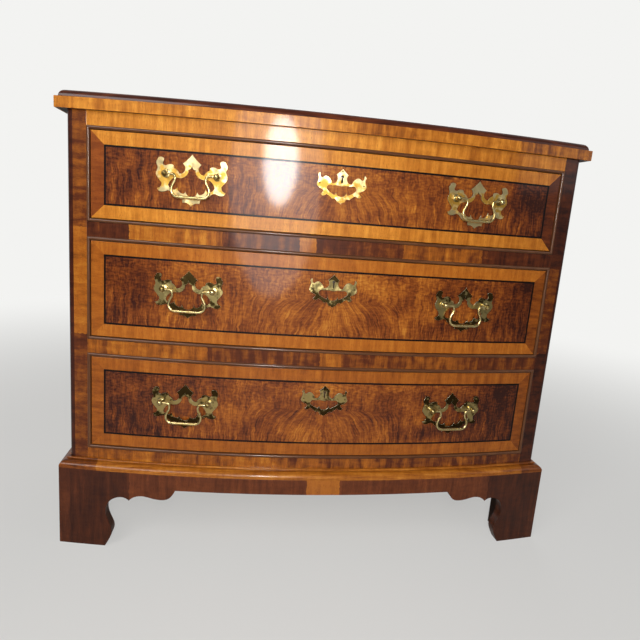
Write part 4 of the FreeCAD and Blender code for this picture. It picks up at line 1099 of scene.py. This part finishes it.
# %% A turned post with a drilled ball, and its nut
def spun(name, profile, steps=40):
    """Spins (out, radius) points in mm about the line that runs out of the drawer."""
    bm = bmesh.new()
    verts = [bm.verts.new((radius * MM, -out * MM, 0)) for out, radius in profile]
    edges = [bm.edges.new(pair) for pair in zip(verts, verts[1:])]
    bmesh.ops.spin(
        bm, geom=verts + edges, cent=(0, 0, 0), axis=(0, 1, 0), angle=2 * math.pi, steps=steps,
        use_merge=True,
    )
    bmesh.ops.remove_doubles(bm, verts=bm.verts, dist=WELD / 2)
    return meshed(bm, name)


FACE = 1.65  # front of a plate, ahead of the wood, in mm
PIVOT = 11.5  # pivot line of a bail
BALL = 4.8
shank = [(-25.98, 0.0), (-25.98, 1.8), (-25.5, 2.25), (FACE, 2.25)]
boss = [(FACE + out, radius) for out, radius in (
    (0, 6.2), (0.35, 6.6), (1.1, 6.6), (1.6, 6.2), (1.8, 5.4), (1.9, 4.3), (2.4, 3.5), (3.2, 3.1)
)]
ball = arc(PIVOT, 0, BALL, BALL, 140, 0, 16)[:-1] + [(PIVOT + BALL, 0.0)]
post = put("post", spun("post", shank + boss + ball))
drill_profile = [(-6.4, 0), (-6.4, 1.68), (1.58, 1.68), (1.58, 0)]
drill = put("drill", spun("drill", drill_profile, 24))
aim = Matrix.Rotation(-math.pi / 2, 4, "Z")
drill.data.transform(Matrix.Translation((0, -PIVOT * MM, 0)) @ aim)
hole = post.modifiers.new("hole", "BOOLEAN")
hole.object = drill
hole.operation = "DIFFERENCE"
drilled = evaluated(post)
post.modifiers.remove(hole)
post.data = drilled
bpy.data.objects.remove(drill)
print("post", len(drilled.polygons), "faces")

# %% Square nut behind the drawer front
NUT_FRONT = -20.48
NUT_BACK = NUT_FRONT - 4
NUT_CHAMFER = 0.5
NUT_HALF = 5
NUT_HOLE = 2.3


def square_nut():
    """A ring of walls, round the outside and back through the hole."""
    bm = bmesh.new()
    rings = []
    for inset, out in (
        (NUT_CHAMFER, NUT_FRONT), (0.0, NUT_FRONT - NUT_CHAMFER), (0.0, NUT_BACK + NUT_CHAMFER),
        (NUT_CHAMFER, NUT_BACK),
    ):
        half = (NUT_HALF - inset) * MM
        corners = [(half, half), (-half, half), (-half, -half), (half, -half)]
        rings.append([
            bm.verts.new((x0 + (x1 - x0) * share / 4, -out * MM, z0 + (z1 - z0) * share / 4))
            for (x0, z0), (x1, z1) in zip(corners, corners[1:] + corners[:1])
            for share in range(4)
        ])
    for out in (NUT_BACK, NUT_FRONT):
        circle = arc(0, 0, NUT_HOLE * MM, NUT_HOLE * MM, 45, 405, len(rings[0]))
        rings.append([bm.verts.new((x, -out * MM, z)) for x, z in circle[:-1]])
    join_rings(bm, rings + rings[:1])
    return meshed(bm, "nut")


nut = put("nut", square_nut())
print("nut", len(nut.data.polygons), "faces")

# %% [markdown]
# The handles stand square to the bow, so each is turned about the bow's centre. One
# tree does that for any fitting: every point carries its place along the front, and
# half of the posts are turned round so that their drilled holes face each other.

# %% Fittings turned round the bow
fit_tree, given = start_tree(
    "fittings_on_the_bow", ("Radius",), others=(("Material", MATERIAL), ("Fitting", OBJECT))
)
place = add(fit_tree, "GeometryNodeInputNamedAttribute", {"Name": "place"}, data_type="FLOAT")
share = add(fit_tree, MATH, (place, BOW_RADIUS), "DIVIDE")
angle = add(fit_tree, MATH, (share,), "ARCSINE")
facing = add(fit_tree, "GeometryNodeInputNamedAttribute", {"Name": "face_round"}, data_type="FLOAT")
turn = add(fit_tree, COMBINE, {1: facing, 2: angle})
spin = add(fit_tree, "FunctionNodeEulerToRotation", (turn,))
start = add(fit_tree, "GeometryNodeInputPosition")
back = add(fit_tree, COMBINE, {1: given["Radius"]})
ahead = add(fit_tree, VECTOR, (start, back), "SUBTRACT")
swung = add(
    fit_tree, "ShaderNodeVectorRotate", {"Vector": ahead, "Angle": angle}, rotation_type="Z_AXIS"
)
final = add(fit_tree, VECTOR, (swung, (0, BOW_CENTRE, 0)), "ADD")
points = add(
    fit_tree, "GeometryNodeSetPosition", {"Geometry": given["Geometry"], "Position": final}
)
fitting = add(fit_tree, "GeometryNodeObjectInfo", {"Object": given["Fitting"]}).outputs["Geometry"]
copies = add(
    fit_tree, "GeometryNodeInstanceOnPoints",
    {"Points": points, "Instance": fitting, "Rotation": spin},
)
end_tree(fit_tree, given, copies)


def fitted(fitting, spots, material):
    """Copies of a fitting at (t, out, height, place, facing) spots, as one mesh."""
    source = bpy.data.meshes.new("spots")
    source.from_pydata([(t, -out, height) for t, out, height, place, facing in spots], [], [])
    for label, index in (("place", 3), ("face_round", 4)):
        values = source.attributes.new(label, "FLOAT", "POINT")
        values.data.foreach_set("value", [spot[index] for spot in spots])
    return grown(fit_tree, source, {"Radius": BOW_RADIUS, "Fitting": fitting, "Material": material})


print("fittings_on_the_bow has", len(fit_tree.nodes), "nodes")

# %% Posts and nuts
HANDLE_PLACE = 238 * MM
POST_PLACE = 40.25 * MM
for number in DRAWERS:
    spots = [
        (side * POST_PLACE, 0.0, POST_HEIGHT[number], place, math.pi * (side > 0))
        for place in (-HANDLE_PLACE, HANDLE_PLACE)
        for side in (-1, 1)
    ]
    drawer = "drawer_%d" % number
    for label, fitting in (("_posts", post), ("_nuts", nut)):
        mesh = fitted(fitting, spots, POST_BRASS)
        settle(drawer + label, mesh, drawer, [drawer + "_handle_posts"], sharp=32, flat=False)

# %% Bails, drawn thicker at the grip
PIN, NECK, GRIP = 1.6 * MM, 1.95 * MM, 2.5 * MM
PIN_STARTS = 0.453  # share of the rod's length from its middle
rod_tree, given = start_tree("drawn_bail", ("Pin", "Neck", "Grip"))
where = add(rod_tree, "GeometryNodeSplineParameter").outputs["Factor"]
offset = add(rod_tree, MATH, (where, 0.5), "SUBTRACT")
from_grip = add(rod_tree, MATH, (offset,), "ABSOLUTE")
thinning = add(
    rod_tree, RANGE,
    {"Value": from_grip, "From Min": 0.04, "From Max": 0.3, "To Min": given["Grip"],
     "To Max": given["Neck"]},
    interpolation_type="SMOOTHSTEP",
)
is_pin = add(rod_tree, MATH, (from_grip, PIN_STARTS), "GREATER_THAN")
thick = add(rod_tree, MIX, {0: is_pin, 2: thinning, 3: given["Pin"]}, data_type="FLOAT")
fine = add(rod_tree, "GeometryNodeResampleCurve", {"Curve": given["Geometry"], "Count": 150})
sized = add(rod_tree, "GeometryNodeSetCurveRadius", {"Curve": fine, "Radius": thick})
circle = add(rod_tree, "GeometryNodeCurvePrimitiveCircle", {"Resolution": 16, "Radius": 1.0})
rod = add(
    rod_tree, "GeometryNodeCurveToMesh",
    {"Curve": sized, "Profile Curve": circle, "Scale": thick, "Fill Caps": True},
)
end_tree(rod_tree, given, rod)

half_path = [(41.75, 0), (36, 0), (28, 0), (24.6, -1.4), (23.2, -9), (27.2, -16), (30, -22.5),
             (28.2, -30.5), (22.5, -35), (13, -35)]
corners = half_path + [(-t, z) for t, z in reversed(half_path)]
path = bpy.data.curves.new("bail_path", "CURVE")
path.dimensions = "3D"
spline = path.splines.new("NURBS")
spline.points.add(len(corners) - 1)
for point, (t, z) in zip(spline.points, corners):
    point.co = (t * MM, 0, z * MM, 1)
spline.order_u = 3
spline.use_endpoint_u = True
path.resolution_u = 12
sizes = {"Pin": PIN, "Neck": NECK, "Grip": GRIP, "Material": BAIL_BRASS}
bail = put("bail", grown(rod_tree, path, sizes))
for number in DRAWERS:
    for label, place in (("left", -HANDLE_PLACE), ("right", HANDLE_PLACE)):
        spots = [(0.0, PIVOT * MM, POST_HEIGHT[number], place, 0.0)]
        settle(
            "drawer_%d_swan_bail_%s" % (number, label), fitted(bail, spots, BAIL_BRASS),
            "bail_%d_%s" % (number, label), ["drawer_%d_bail_%s" % (number, label)], sharp=40,
            flat=False,
        )
for pattern in (post, nut, bail):
    bpy.data.objects.remove(pattern)

# %% [markdown]
# ## Floor, light and camera
# The chest stands on a plain pale floor. A large soft lamp from the upper left models
# the bow and a weaker one on the right keeps that end from going black. Two near the
# camera draw the upright gleam down the middle of the polish and the soft glow round
# it, and one behind shows the back when the chest is seen from there.

# %% Pale floor
WHITE = linear("#f3f3f1")
FLOOR_HALF = 6
CLOUD_SCALE = 0.0015  # clouds per mm
FLOOR_FADE = {"From Min": 600.0, "From Max": 2600.0, "To Min": 0.5, "To Max": 1.0}


def pale_floor():
    """Paper that keeps the shadow near the chest and fades into the white far from it."""
    material, tree, shader, place = start_material("pale_floor_paper")
    cloud = add(tree, NOISE, {"Vector": place, "Scale": CLOUD_SCALE})
    pale, paler = linear("#b4b1ad"), linear("#bdbab6")
    colour = add(tree, MIX, {0: cloud, 6: pale, 7: paler}, data_type="RGBA")
    fill(tree, shader, {"Base Color": colour, "Roughness": 0.9, "Specular IOR Level": 0.2})
    away = add(tree, VECTOR, (place,), "LENGTH")
    fade = add(tree, RANGE, {"Value": away, **FLOOR_FADE}, interpolation_type="SMOOTHSTEP")
    seen = add(tree, "ShaderNodeLightPath").outputs["Is Camera Ray"]
    lit = add(tree, MATH, (fade, seen), "MULTIPLY")
    glow = add(tree, "ShaderNodeEmission", {"Color": WHITE, "Strength": 1.0})
    mixed = add(tree, "ShaderNodeMixShader", (lit, shader, glow))
    fill(tree, tree.nodes["Material Output"], {0: mixed})
    return material


mesh = bpy.data.meshes.new("floor")
bm = bmesh.new()
bmesh.ops.create_grid(bm, x_segments=8, y_segments=8, size=FLOOR_HALF)
bm.to_mesh(mesh)
bm.free()
mesh.materials.append(pale_floor())
floor = put("floor", mesh)
print("floor of", 2 * FLOOR_HALF, "m square")

# %% White surroundings, mirrored only from behind the chest
world = bpy.data.worlds.new("soft_room")
bpy.context.scene.world = world
world.use_nodes = True
tree = world.node_tree
tree.nodes.clear()
ray = add(tree, "ShaderNodeLightPath").outputs
behind = add(tree, SEPARATE, (add(tree, "ShaderNodeTexCoord").outputs["Generated"],)).outputs["Y"]
behind = add(tree, RANGE, {"Value": behind, "From Min": 0.0, "From Max": 0.9, "To Max": 0.6})
mirrored = add(tree, MATH, (ray["Is Glossy Ray"], ray["Is Transmission Ray"]), "MAXIMUM")
mirrored = add(tree, MATH, (mirrored, behind), "MULTIPLY")
seen = add(tree, MATH, (ray["Is Camera Ray"], mirrored), "MAXIMUM")
room = add(tree, "ShaderNodeBackground", {"Color": linear("#c9cbce"), "Strength": 0.26})
white = add(tree, "ShaderNodeBackground", {"Color": WHITE, "Strength": 1.0})
mixed = add(tree, "ShaderNodeMixShader", (seen, room, white))
add(tree, "ShaderNodeOutputWorld", (mixed,))
print("world:", len(tree.nodes), "nodes")

# %% Five soft lamps
LAMPS = (
    # name, shape, width, height, place, what it shines at, power in W
    ("large_left", "RECTANGLE", 1.5, 1.2, (-1.5, -1.9, 2.0), (-0.1, 0, 0.4), 34),
    ("fill_right", "RECTANGLE", 1.4, 1.4, (2.2, -1.4, 1.5), (0, 0, 0.4), 5),
    ("gleam", "ELLIPSE", 0.17, 0.3, (-0.13, -1.32, 0.78), (-0.1, -0.2, 0.62), 5.5),
    ("glow", "ELLIPSE", 0.5, 0.9, (-0.15, -1.45, 0.72), (-0.1, -0.2, 0.6), 5),
    ("back_fill", "RECTANGLE", 1.8, 1.4, (0.7, 2.6, 1.5), (0, 0.2, 0.4), 22),
)
for name, shape, width, height, place, aim, power in LAMPS:
    data = bpy.data.lights.new(name, "AREA")
    data.shape = shape
    data.size = width
    data.size_y = height
    data.energy = power
    lamp = put(name, data)
    lamp.location = place
    lamp.rotation_euler = (Vector(aim) - Vector(place)).to_track_quat("-Z", "Y").to_euler()
    print(name, power, "W")

# %% Camera
CAMERA_PLACE = Vector((-148.9, -1117.0, 598.4)) * MM
TURN, TILT, LEAN = -0.1476, 0.1891, 0.0781  # radians: to the right, down, and on its side
data = bpy.data.cameras.new("camera")
data.lens = 30.05
data.sensor_width = 36
camera = put("camera", data)
turn = Matrix.Rotation(TURN, 4, "Z") @ Matrix.Rotation(math.pi / 2 - TILT, 4, "X")
turn = turn @ Matrix.Rotation(LEAN, 4, "Z")
camera.matrix_world = Matrix.Translation(CAMERA_PLACE) @ turn
bpy.context.scene.camera = camera
bpy.context.scene.view_settings.view_transform = "Standard"
print("camera at", [round(c, 3) for c in CAMERA_PLACE])

# %% The json module, imported again
import json
